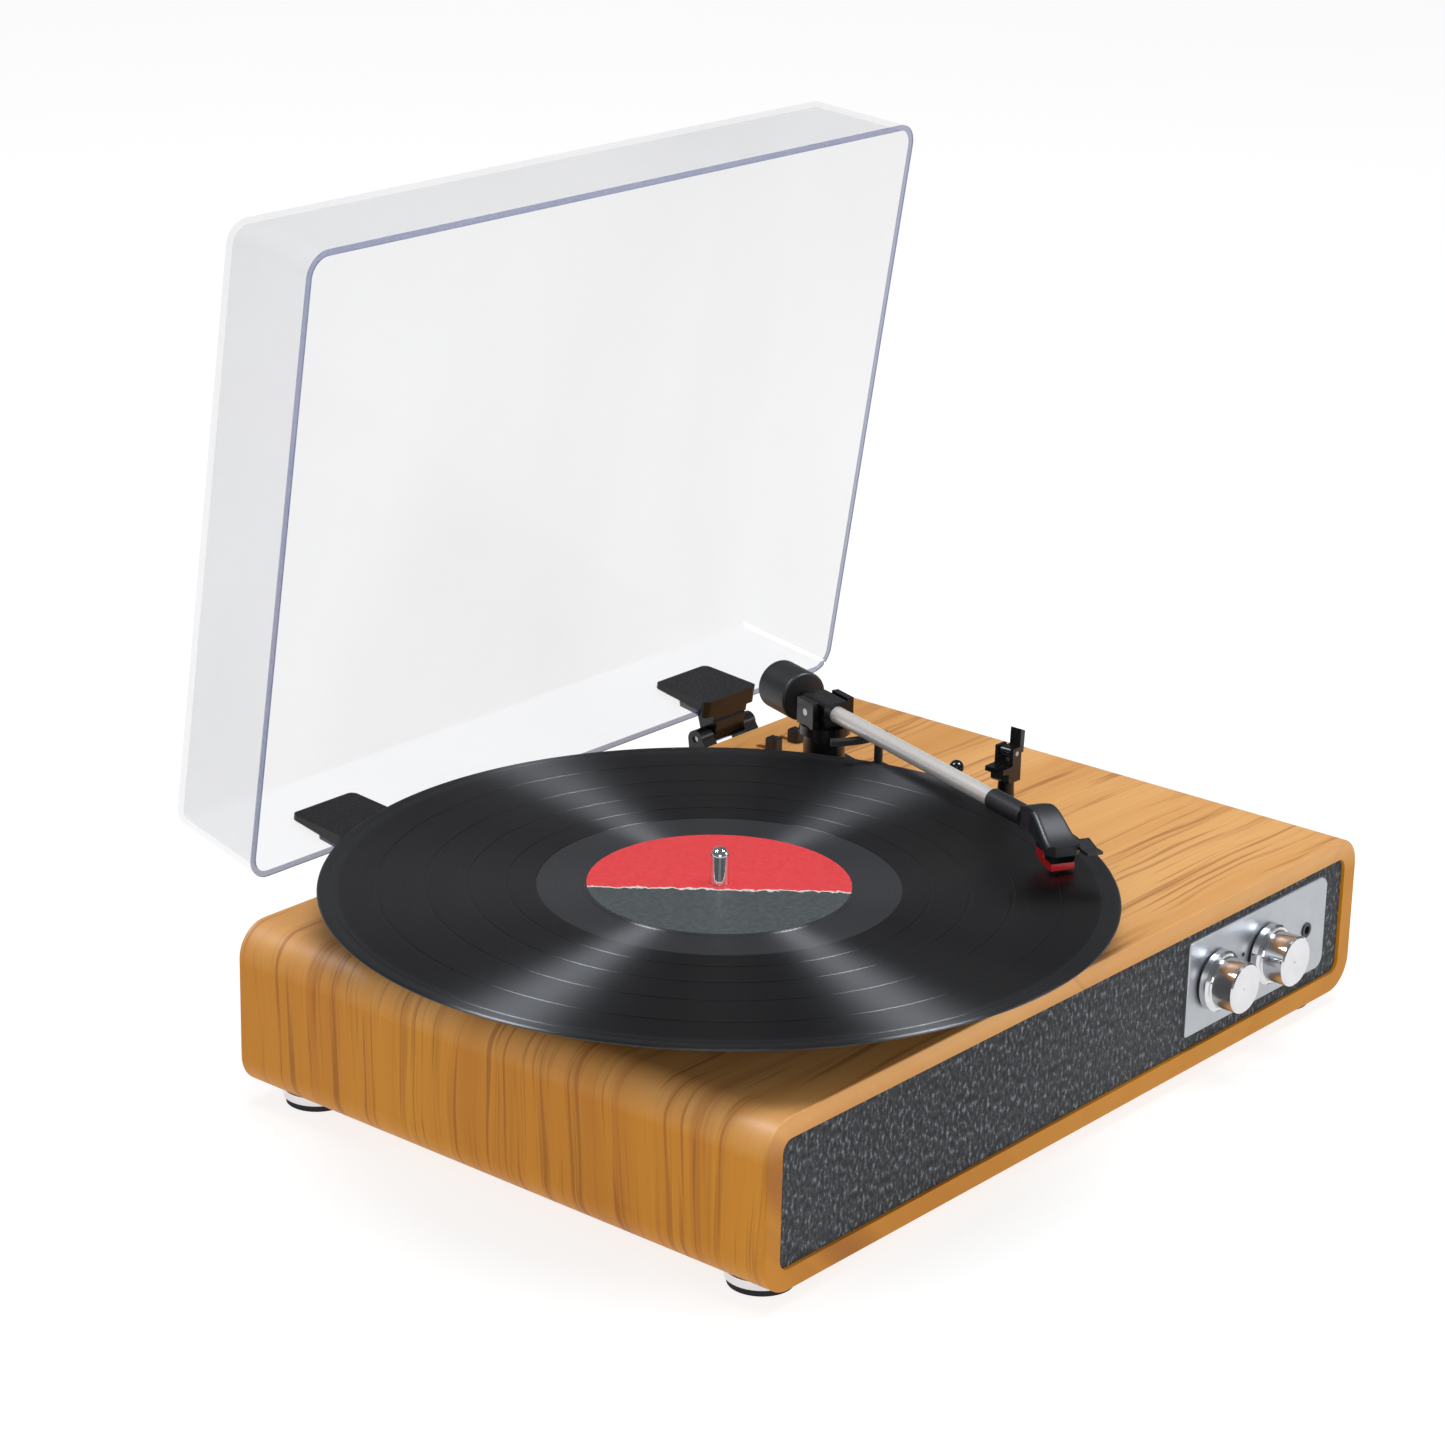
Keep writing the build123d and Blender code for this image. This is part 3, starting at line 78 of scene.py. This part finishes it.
# ---------------------------------------------------------------- node material helpers
class Shader:
    """A material with one Principled shader, and short ways to add nodes to it."""

    def __init__(self, name):
        self.material = bpy.data.materials.new(name)
        self.material.use_nodes = True
        self.tree = self.material.node_tree
        self.tree.nodes.clear()
        self.output = self.tree.nodes.new("ShaderNodeOutputMaterial")
        self.bsdf = self.tree.nodes.new("ShaderNodeBsdfPrincipled")
        self.link(self.bsdf.outputs[0], self.output.inputs["Surface"])

    def link(self, source, target):
        self.tree.links.new(source, target)

    def put(self, socket, value):
        """value is a node output to link, or a plain number or colour to set."""
        if isinstance(value, bpy.types.NodeSocket):
            self.link(value, socket)
        else:
            socket.default_value = value

    def set(self, **values):
        for key, value in values.items():
            self.put(self.bsdf.inputs[key.replace("_", " ")], value)

    def coords(self):
        return self.tree.nodes.new("ShaderNodeTexCoord").outputs["Object"]

    def math(self, operation, a, b=0.0, c=0.0, clamp=False):
        node = self.tree.nodes.new("ShaderNodeMath")
        node.operation = operation
        node.use_clamp = clamp
        for socket, value in zip(node.inputs, (a, b, c)):
            self.put(socket, value)
        return node.outputs[0]

    def split(self, vector):
        node = self.tree.nodes.new("ShaderNodeSeparateXYZ")
        self.link(vector, node.inputs[0])
        return node.outputs

    def join(self, x, y, z):
        node = self.tree.nodes.new("ShaderNodeCombineXYZ")
        for socket, value in zip(node.inputs, (x, y, z)):
            self.put(socket, value)
        return node.outputs[0]

    def scaled(self, vector, scale):
        node = self.tree.nodes.new("ShaderNodeMapping")
        node.inputs["Scale"].default_value = scale
        self.link(vector, node.inputs["Vector"])
        return node.outputs[0]

    def noise(self, vector, scale, detail=3.0, roughness=0.5):
        node = self.tree.nodes.new("ShaderNodeTexNoise")
        self.link(vector, node.inputs["Vector"])
        node.inputs["Scale"].default_value = scale
        node.inputs["Detail"].default_value = detail
        node.inputs["Roughness"].default_value = roughness
        return node.outputs["Fac"]

    def cells(self, vector, scale):
        node = self.tree.nodes.new("ShaderNodeTexVoronoi")
        self.link(vector, node.inputs["Vector"])
        node.inputs["Scale"].default_value = scale
        return node.outputs["Distance"]

    def ramp(self, value, stops):
        node = self.tree.nodes.new("ShaderNodeValToRGB")
        elements = node.color_ramp.elements
        while len(elements) < len(stops):
            elements.new(0.5)
        for element, (place, colour) in zip(elements, stops):
            element.position = place
            element.color = (*colour, 1.0)
        self.link(value, node.inputs[0])
        return node.outputs[0]

    def mix(self, factor, a, b, blend="MIX"):
        node = self.tree.nodes.new("ShaderNodeMix")
        node.data_type = "RGBA"
        node.blend_type = blend
        self.put(node.inputs[0], factor)
        for socket, value in ((node.inputs[6], a), (node.inputs[7], b)):
            if isinstance(value, tuple) and len(value) == 3:
                value = (*value, 1.0)
            self.put(socket, value)
        return node.outputs[2]

    def between(self, value, low, high):
        """A 0 to 1 value stretched to run from low to high."""
        return self.math("MULTIPLY_ADD", value, high - low, low)

    def bump(self, height, distance, strength):
        node = self.tree.nodes.new("ShaderNodeBump")
        node.inputs["Distance"].default_value = distance
        node.inputs["Strength"].default_value = strength
        self.link(height, node.inputs["Height"])
        return node.outputs[0]

    def radial(self, axis):
        """The direction round an axis, X, Y or Z, as the grooves and lathe marks run."""
        node = self.tree.nodes.new("ShaderNodeTangent")
        node.direction_type = "RADIAL"
        node.axis = axis
        return node.outputs[0]


def rgb(r, g, b):
    """An sRGB colour, 0 to 255, as linear light."""
    return tuple((c / 255 / 12.92) if c <= 10 else ((c / 255 + 0.055) / 1.055) ** 2.4 for c in (r, g, b))


# ---------------------------------------------------------------- materials
def wood_veneer():
    """Wrapped oak-like foil: the grain runs around the sleeve, across the top and down the sides."""
    s = Shader("wood_veneer")
    x, y, z = s.split(s.coords())
    across = s.math("SUBTRACT", x, cabinet_mid.x)
    side = s.math("SIGN", across)
    drop = s.math("SUBTRACT", cabinet_high.z, z)
    around = s.math("MULTIPLY_ADD", side, drop, across)
    wander = s.noise(s.join(s.math("MULTIPLY", around, 7.0), s.math("MULTIPLY", y, 11.0), 0.3), 1.0, 2.0)
    y_wavy = s.math("MULTIPLY_ADD", wander, 0.022, y)

    def grain(along, over, seed, detail=2.0, roughness=0.5):
        at = s.join(s.math("MULTIPLY", around, along), s.math("MULTIPLY", y_wavy, over), seed)
        return s.noise(at, 1.0, detail, roughness)

    def lines(value, start, full):
        return s.ramp(value, [(start, (0, 0, 0)), (full, (1, 1, 1))])

    broad = grain(2.0, 34.0, 0.5)
    rings = grain(4.0, 130.0, 2.5, 3.0, 0.6)
    pores = grain(9.0, 330.0, 5.5, 2.0, 0.6)
    fibres = grain(30.0, 1100.0, 8.5, 3.0, 0.6)
    base = s.ramp(broad, [(0.32, rgb(207, 148, 81)), (0.50, rgb(220, 163, 97)), (0.68, rgb(230, 177, 112))])
    base = s.mix(s.between(fibres, 0.0, 0.45), base, rgb(196, 134, 70))
    base = s.mix(s.math("MULTIPLY", lines(rings, 0.55, 0.70), 0.48), base, rgb(170, 106, 54))
    base = s.mix(s.math("MULTIPLY", lines(pores, 0.56, 0.66), 0.55), base, rgb(148, 86, 42))
    # Painted shade: from the rounded corner down, the sides are made deeper and more golden than the top, as the
    # sides take less light.
    painted_side_shade = s.math("MULTIPLY", s.math("SUBTRACT", drop, 0.004), 90.0, clamp=True)
    base = s.mix(painted_side_shade, base, rgb(226, 202, 76), "MULTIPLY")
    height = s.mix(0.5, fibres, pores)
    s.set(Base_Color=base, Roughness=s.between(fibres, 0.40, 0.56), Coat_Weight=0.06, Coat_Roughness=0.32,
          Specular_IOR_Level=0.22, Normal=s.bump(height, 0.00010, 0.35))
    return s.material


def grille():
    """Charcoal heather cloth: a fine square weave with light and dark flecks."""
    s = Shader("grille")
    at = s.coords()
    x, _, z = s.split(at)
    threads = 5200.0  # radians per metre, so a weave of 1.2 mm
    wobble = s.noise(at, 700.0, 2.0)
    weave_x = s.math("SINE", s.math("MULTIPLY_ADD", wobble, 3.0, s.math("MULTIPLY", x, threads)))
    weave_z = s.math("SINE", s.math("MULTIPLY_ADD", wobble, 3.0, s.math("MULTIPLY", z, threads)))
    weave = s.math("MULTIPLY_ADD", s.math("MULTIPLY", weave_x, weave_z), 0.5, 0.5)
    fleck = s.noise(s.scaled(at, (1.0, 1.0, 0.55)), 620.0, 2.0, 0.6)
    slub = s.noise(s.scaled(at, (0.6, 1.0, 1.0)), 300.0, 2.0, 0.6)
    base = s.ramp(fleck, [
        (0.34, rgb(24, 25, 28)), (0.47, rgb(50, 52, 55)), (0.57, rgb(76, 78, 82)), (0.68, rgb(144, 150, 158)),
    ])
    base = s.mix(s.between(slub, 0.0, 0.5), base, rgb(48, 50, 54))
    base = s.mix(s.between(weave, 0.30, 0.0), base, rgb(24, 25, 28))
    s.set(Base_Color=base, Roughness=0.95, Sheen_Weight=0.15, Specular_IOR_Level=0.15,
          Normal=s.bump(s.mix(0.5, weave, fleck), 0.0003, 0.7))
    return s.material


def vinyl():
    """Black vinyl: fine grooves round the spindle, bands between tracks, and a sheen drawn out across them. The
    smooth dead wax and the smooth band at the edge are painted a lighter grey, as painted sheen.
    """
    s = Shader("vinyl")
    x, y, _ = s.split(s.coords())
    dx = s.math("SUBTRACT", x, spindle.x)
    dy = s.math("SUBTRACT", y, spindle.y)
    radius = s.math("SQRT", s.math("ADD", s.math("MULTIPLY", dx, dx), s.math("MULTIPLY", dy, dy)))
    ring = s.join(radius, 0.0, 0.0)
    tone = s.noise(ring, 900.0, 3.0, 0.6)
    wide = s.noise(ring, 120.0, 2.0, 0.5)
    base = s.mix(s.between(wide, 0.0, 0.8), rgb(4, 4, 5), rgb(11, 11, 13))
    # Painted sheen: the smooth dead wax inside the grooves is painted a lighter grey than the grooved vinyl.
    inside_grooves = s.math("MULTIPLY", s.math("SUBTRACT", dead_wax_r, radius), 2500.0, clamp=True)
    dead = s.math("SMOOTH_MIN", inside_grooves, 1.0, 0.1)
    base = s.mix(dead, base, rgb(44, 45, 48))
    # Painted sheen: the smooth band just inside the edge is painted a lighter grey than the grooved vinyl.
    painted_edge_band_sheen = s.math("MULTIPLY", s.math("SUBTRACT", radius, record_r - lead_in), 4000.0, clamp=True)
    base = s.mix(painted_edge_band_sheen, base, rgb(24, 25, 27))
    grooves = 14000.0  # radians per metre, so 0.45 mm from one to the next
    groove = s.math("SINE", s.math("MULTIPLY", radius, grooves))
    height = s.math("ADD", s.math("MULTIPLY", groove, 0.25), tone)
    s.set(Base_Color=base, Roughness=s.between(tone, 0.28, 0.40), Anisotropic=1.0, Anisotropic_Rotation=0.25,
          Tangent=s.radial("Z"), Specular_IOR_Level=0.55, Normal=s.bump(height, 0.000004, 0.3))
    return s.material


def label_paper():
    """Two-tone printed label: red over dark slate with a ragged pale edge between, and no lettering."""
    s = Shader("label_paper")
    at = s.coords()
    x, y, _ = s.split(at)
    dx = s.math("SUBTRACT", x, spindle.x)
    dy = s.math("SUBTRACT", y, spindle.y)
    # Distance across the label, towards the back right, where the red half lies.
    towards_red = Vector((0.77, 0.638))
    up = s.math("ADD", s.math("MULTIPLY", dx, towards_red.x), s.math("MULTIPLY", dy, towards_red.y))
    ragged = s.math("MULTIPLY", s.math("SUBTRACT", s.noise(at, 260.0, 3.0, 0.6), 0.5), 0.006)
    edge = s.math("ADD", up, s.math("ADD", ragged, 0.0065))
    red = s.math("MULTIPLY", edge, 4000.0, clamp=True)
    pale = s.math("MULTIPLY", s.math("SUBTRACT", 0.0008, s.math("ABSOLUTE", edge)), 3000.0, clamp=True)
    mottle = s.noise(at, 420.0, 3.0, 0.6)
    red_tone = s.mix(mottle, rgb(200, 26, 34), rgb(230, 62, 64))
    dark_tone = s.mix(mottle, rgb(34, 42, 45), rgb(82, 90, 90))
    base = s.mix(red, dark_tone, red_tone)
    base = s.mix(s.math("MULTIPLY", pale, 0.8), base, rgb(226, 222, 218))
    s.set(Base_Color=base, Roughness=s.between(mottle, 0.45, 0.6), Normal=s.bump(mottle, 0.00005, 0.3))
    return s.material


def clear_lid():
    """Clear acrylic: almost nothing face on, denser seen along a wall, and lavender-grey on the cut rim."""
    s = Shader("clear_lid")
    at = s.coords()
    _, y, z = s.split(at)
    scuff = s.noise(s.scaled(at, (1.0, 0.2, 1.0)), 500.0, 4.0, 0.7)
    haze = s.noise(s.scaled(at, (1.0, 1.0, 0.6)), 7.0, 2.0)
    # Depth behind the plane of the lid's open rim.
    deep = s.math("ADD", s.math("MULTIPLY", s.math("SUBTRACT", y, rim.y), rim_back.y),
                  s.math("MULTIPLY", s.math("SUBTRACT", z, rim.z), rim_back.z))
    rim_depth = 0.0012
    on_rim = s.math("MULTIPLY", s.math("SUBTRACT", rim_depth, deep), 3000.0, clamp=True)
    facing = s.tree.nodes.new("ShaderNodeLayerWeight")
    facing.inputs["Blend"].default_value = 0.35
    edge_on = s.math("POWER", facing.outputs["Facing"], 2.0)
    body = s.math("MULTIPLY_ADD", edge_on, 0.02, s.between(haze, 0.07, 0.21))
    alpha = s.math("ADD", body, s.math("MULTIPLY", on_rim, 0.55), clamp=True)
    base = s.mix(on_rim, s.mix(haze, rgb(180, 182, 190), rgb(196, 198, 205)), rgb(82, 96, 152))
    s.set(Base_Color=base, Alpha=alpha, IOR=1.49, Roughness=s.between(scuff, 0.05, 0.12), Specular_IOR_Level=0.5)
    return s.material


def metal(name, light, dark, rough, scale, spun=None, metallic=1.0):
    """A metal with fine tone changes. spun is the axis letter of lathe marks. metallic under 1 is a satin finish."""
    s = Shader(name)
    at = s.coords()
    marks = s.noise(at, scale, 4.0, 0.6)
    smudge = s.noise(at, scale / 14, 3.0, 0.6)
    s.set(Base_Color=s.mix(smudge, dark, light), Metallic=metallic, Roughness=s.between(marks, rough[0], rough[1]),
          Normal=s.bump(marks, 0.00002, 0.25))
    if spun:
        s.set(Anisotropic=0.8, Anisotropic_Rotation=0.25, Tangent=s.radial(spun))
    return s.material


def plastic(name, light, dark, rough, scale, depth, coat=0.0, spec=0.5):
    """A moulded plastic or rubber: mottled tone, uneven gloss and a fine texture."""
    s = Shader(name)
    at = s.coords()
    grain = s.noise(at, scale, 4.0, 0.65)
    cloud = s.noise(at, scale / 30, 3.0, 0.5)
    s.set(Base_Color=s.mix(cloud, dark, light), Roughness=s.between(grain, rough[0], rough[1]), Coat_Weight=coat,
          Coat_Roughness=0.06, Specular_IOR_Level=spec, Normal=s.bump(grain, depth, 0.5))
    return s.material


def board(name, light, dark, scale, depth):
    """A pressed board, felt or paper: fibres and flecks."""
    s = Shader(name)
    at = s.coords()
    fibre = s.noise(at, scale, 5.0, 0.7)
    fleck = s.cells(at, scale / 3)
    base = s.mix(s.between(fleck, 0.0, 0.5), s.mix(fibre, dark, light), dark)
    s.set(Base_Color=base, Roughness=s.between(fibre, 0.8, 0.95), Specular_IOR_Level=0.2,
          Normal=s.bump(fibre, depth, 0.6))
    return s.material


materials = {
    "wood_veneer": wood_veneer(),
    "grille": grille(),
    "vinyl": vinyl(),
    "label_paper": label_paper(),
    "clear_lid": clear_lid(),
    "control_silver": metal("control_silver", rgb(186, 189, 193), rgb(172, 176, 180), (0.34, 0.48), 1600.0),
    "knob_metal": metal("knob_metal", rgb(226, 226, 228), rgb(206, 206, 208), (0.10, 0.22), 1400.0, spun="Y"),
    "steel": metal("steel", rgb(196, 196, 198), rgb(170, 170, 172), (0.22, 0.38), 1800.0),
    "chrome": metal("chrome", rgb(236, 236, 238), rgb(220, 220, 222), (0.04, 0.10), 900.0),
    "platter_metal": metal("platter_metal", rgb(70, 70, 73), rgb(52, 52, 55), (0.30, 0.45), 1300.0, spun="Z"),
    "brass": metal("brass", rgb(206, 172, 96), rgb(178, 142, 70), (0.22, 0.36), 1500.0, spun="Z"),
    "arm_metal": metal("arm_metal", rgb(238, 235, 230), rgb(226, 223, 218), (0.25, 0.31), 3600.0, metallic=0.45),
    "motor_metal": metal("motor_metal", rgb(168, 170, 173), rgb(138, 140, 143), (0.30, 0.46), 1300.0),
    "black_plastic": plastic("black_plastic", rgb(36, 37, 40), rgb(25, 26, 28), (0.34, 0.48), 2600.0, 0.00006),
    "gloss_black": plastic("gloss_black", rgb(16, 16, 17), rgb(10, 10, 11), (0.20, 0.32), 1800.0, 0.00001, coat=0.15,
                           spec=0.35),
    "rubber": plastic("rubber", rgb(34, 34, 35), rgb(22, 22, 23), (0.62, 0.80), 2200.0, 0.00008, spec=0.3),
    "belt_rubber": plastic("belt_rubber", rgb(28, 28, 29), rgb(18, 18, 19), (0.6, 0.8), 2400.0, 0.00006, spec=0.3),
    "inner_plastic": plastic("inner_plastic", rgb(58, 58, 61), rgb(42, 42, 45), (0.4, 0.55), 1800.0, 0.00005),
    "stylus_red": plastic("stylus_red", rgb(206, 20, 26), rgb(176, 12, 18), (0.16, 0.28), 1500.0, 0.00001, coat=0.4),
    "lamp_lens": plastic("lamp_lens", rgb(34, 34, 38), rgb(20, 20, 24), (0.08, 0.16), 1500.0, 0.00001, coat=0.5),
    "board_green": plastic("board_green", rgb(26, 92, 52), rgb(14, 62, 34), (0.28, 0.42), 900.0, 0.00004),
    "panel_board": board("panel_board", rgb(58, 48, 40), rgb(38, 31, 26), 900.0, 0.0001),
    "felt": board("felt", rgb(34, 34, 36), rgb(20, 20, 22), 2600.0, 0.0002),
    "cone_paper": board("cone_paper", rgb(44, 44, 46), rgb(30, 30, 32), 1500.0, 0.0001),
}

slot_of = {part["node"]: part["material_slot"] for part in frame["record"]["subparts"]}
body_of = {}
for body, members in frame["record"]["behaviour"]["bodies"].items():
    for member in members:
        body_of[member] = body
for name, obj in nodes.items():
    obj.data.materials.clear()
    obj.data.materials.append(materials[slot_of[name]])


# ---------------------------------------------------------------- mesh helpers
def smooth(obj, degrees):
    """Smooth shading, with edges sharper than the angle left crisp."""
    mesh = obj.data
    bm = bmesh.new()
    bm.from_mesh(mesh)
    limit = math.radians(degrees)
    for face in bm.faces:
        face.smooth = True
    for edge in bm.edges:
        edge.smooth = len(edge.link_faces) == 2 and edge.calc_face_angle(0.0) < limit
    bm.to_mesh(mesh)
    bm.free()


def stand_in(obj, node):
    """obj replaces a CAD node and rides where that node rides."""
    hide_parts(node)
    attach(obj, body_of[node])


def lathe(name, profile, place, material, sharp, segments=360):
    """A ring turned about an upright axis at place. profile is a closed loop of (radius, height) points."""
    bm = bmesh.new()
    rings = []
    turns = [2 * math.pi * k / segments for k in range(segments)]
    for r, h in profile:
        rings.append([bm.verts.new(place + Vector((r * math.cos(turn), r * math.sin(turn), h))) for turn in turns])
    for first, second in zip(rings, rings[1:] + rings[:1]):
        for k in range(segments):
            n = (k + 1) % segments
            bm.faces.new((first[k], first[n], second[n], second[k]))
    mesh = bpy.data.meshes.new(name)
    bmesh.ops.recalc_face_normals(bm, faces=bm.faces)
    bm.to_mesh(mesh)
    bm.free()
    obj = bpy.data.objects.new(name, mesh)
    bpy.context.scene.collection.objects.link(obj)
    mesh.materials.append(materials[material])
    smooth(obj, sharp)
    return obj


# ---------------------------------------------------------------- record
def record_profile():
    """The disc's section: label seat, dead wax, five grooved bands with gaps between, and a bead at the edge."""
    thick = record_high.z - record_low.z
    low, grooved = thick - 0.0003, thick - 0.00014
    profile = [(hole_r, thick), (0.0512, thick), (0.0517, low), (0.0600, low)]
    inner = dead_wax_r
    for outer in (0.0800, 0.0945, 0.1105, 0.1290, 0.1462):
        profile += [(inner, low), (inner + 0.0003, grooved), (outer - 0.0010, grooved), (outer - 0.0007, low)]
        inner = outer + 0.0004
    profile += [(inner, low), (record_r - 0.0040, low)]
    bead = [(0.0028, 0.00008), (0.0016, 0.0), (0.0007, 0.00006), (0.0002, 0.00035), (0.0, 0.0007), (0.0002, 0.0011)]
    profile += [(record_r - inward, thick - down) for inward, down in bead]
    return profile + [(record_r - 0.0010, 0.0), (hole_r, 0.0)]


under_spindle = Vector((spindle.x, spindle.y, record_low.z))
stand_in(lathe("record_disc", record_profile(), under_spindle, "vinyl", sharp=8.0), "record")


# ---------------------------------------------------------------- floor, light and camera
def floor():
    """A pale floor, grey in itself and glowing, so that it stays near white and still takes a soft shadow."""
    s = Shader("studio_floor")
    tone = s.noise(s.coords(), 3.0, 2.0)
    s.set(Base_Color=s.mix(tone, (0.26, 0.26, 0.26), (0.28, 0.28, 0.28)), Roughness=0.9, Specular_IOR_Level=0.1,
          Emission_Color=(1.0, 1.0, 1.0, 1.0), Emission_Strength=0.80)
    mesh = bpy.data.meshes.new("studio_floor")
    half = 30.0  # far enough for its edge to stay out of view
    mesh.from_pydata([(-half, -half, 0), (half, -half, 0), (half, half, 0), (-half, half, 0)], [], [(0, 1, 2, 3)])
    obj = bpy.data.objects.new("studio_floor", mesh)
    bpy.context.scene.collection.objects.link(obj)
    mesh.materials.append(s.material)


floor()


def area_light(name, place, target, width, height, power, colour=(1, 1, 1), diffuse=True, glossy=True):
    """A rectangular light at place, facing target. Sizes in metres, power in watts."""
    light = bpy.data.lights.new(name, "AREA")
    light.shape = "RECTANGLE"
    light.size, light.size_y = width, height
    light.energy = power
    light.color = colour
    obj = bpy.data.objects.new(name, light)
    obj.location = place
    obj.rotation_euler = (Vector(target) - Vector(place)).to_track_quat("-Z", "Y").to_euler()
    obj.visible_diffuse = diffuse
    obj.visible_glossy = glossy
    bpy.context.scene.collection.objects.link(obj)


# overhead only lights surfaces, and the two sheen lights only show in reflections, as the record's crossed sheen.
area_light("overhead", (0.1, 0.0, 2.0), (0, 0, 0), 1.2, 1.2, 25, glossy=False)
area_light("sheen_left", (-0.68, 0.77, 1.60), (0, 0, 0.1), 0.42, 0.42, 38, (0.86, 0.91, 1.0), diffuse=False)
area_light("sheen_right", (0.60, -0.77, 1.60), (0, 0, 0.1), 0.42, 0.42, 38, (0.88, 0.92, 1.0), diffuse=False)
area_light("front_left", (-1.7, -1.5, 0.7), (0, 0, 0.05), 1.0, 0.8, 10)
area_light("front_right", (1.5, -1.5, 0.7), (0, 0, 0.05), 0.8, 0.8, 5)


def studio_world():
    """A white surround for the background and the fill, and a darker one in reflections, as a dark studio has."""
    world = bpy.data.worlds.new("studio")
    world.use_nodes = True
    tree = world.node_tree
    ray = tree.nodes.new("ShaderNodeLightPath")

    def background(node, colour, strength):
        node.inputs[0].default_value = (*colour, 1.0)
        node.inputs[1].default_value = strength
        return node.outputs[0]

    def choose(ray_kind, otherwise, chosen):
        node = tree.nodes.new("ShaderNodeMixShader")
        for socket, source in zip(node.inputs, (ray.outputs[ray_kind], otherwise, chosen)):
            tree.links.new(source, socket)
        return node.outputs[0]

    fill = background(tree.nodes["Background"], (1.0, 1.0, 1.0), 0.50)
    reflected = background(tree.nodes.new("ShaderNodeBackground"), (0.94, 0.96, 1.0), 0.17)
    seen = background(tree.nodes.new("ShaderNodeBackground"), (1.0, 1.0, 1.0), 1.0)
    surround = choose("Is Camera Ray", choose("Is Glossy Ray", fill, reflected), seen)
    tree.links.new(surround, tree.nodes["World Output"].inputs["Surface"])
    bpy.context.scene.world = world


def studio_camera():
    """A long lens looking slightly down at the near left corner. Angles in radians, distances in metres."""
    azimuth, elevation, roll = -0.8783, 0.3412, 0.0224
    distance, shift_right, shift_up = 1.56244, -0.036924, 0.124022
    lens_px, frame_px, sensor = 3915.4, 1445, 36.0
    right = Vector((math.cos(azimuth), math.sin(azimuth), 0))
    back = Vector((
        math.sin(azimuth) * math.cos(elevation), -math.cos(azimuth) * math.cos(elevation), math.sin(elevation)))
    up = back.cross(right)
    cam_right = math.cos(roll) * right + math.sin(roll) * up
    cam_up = -math.sin(roll) * right + math.cos(roll) * up
    under_cabinet = Vector((cabinet_mid.x, cabinet_mid.y, cabinet_low.z))
    place = under_cabinet + cam_right * shift_right + cam_up * shift_up + back * distance
    lens = bpy.data.cameras.new("camera")
    lens.sensor_width = sensor
    lens.lens = sensor * lens_px / frame_px
    camera = bpy.data.objects.new("camera", lens)
    turn = Matrix((cam_right, cam_up, back)).transposed().to_4x4()
    camera.matrix_world = Matrix.Translation(place) @ turn
    bpy.context.scene.collection.objects.link(camera)
    bpy.context.scene.camera = camera


studio_world()
bpy.context.scene.view_settings.view_transform = "Standard"
studio_camera()
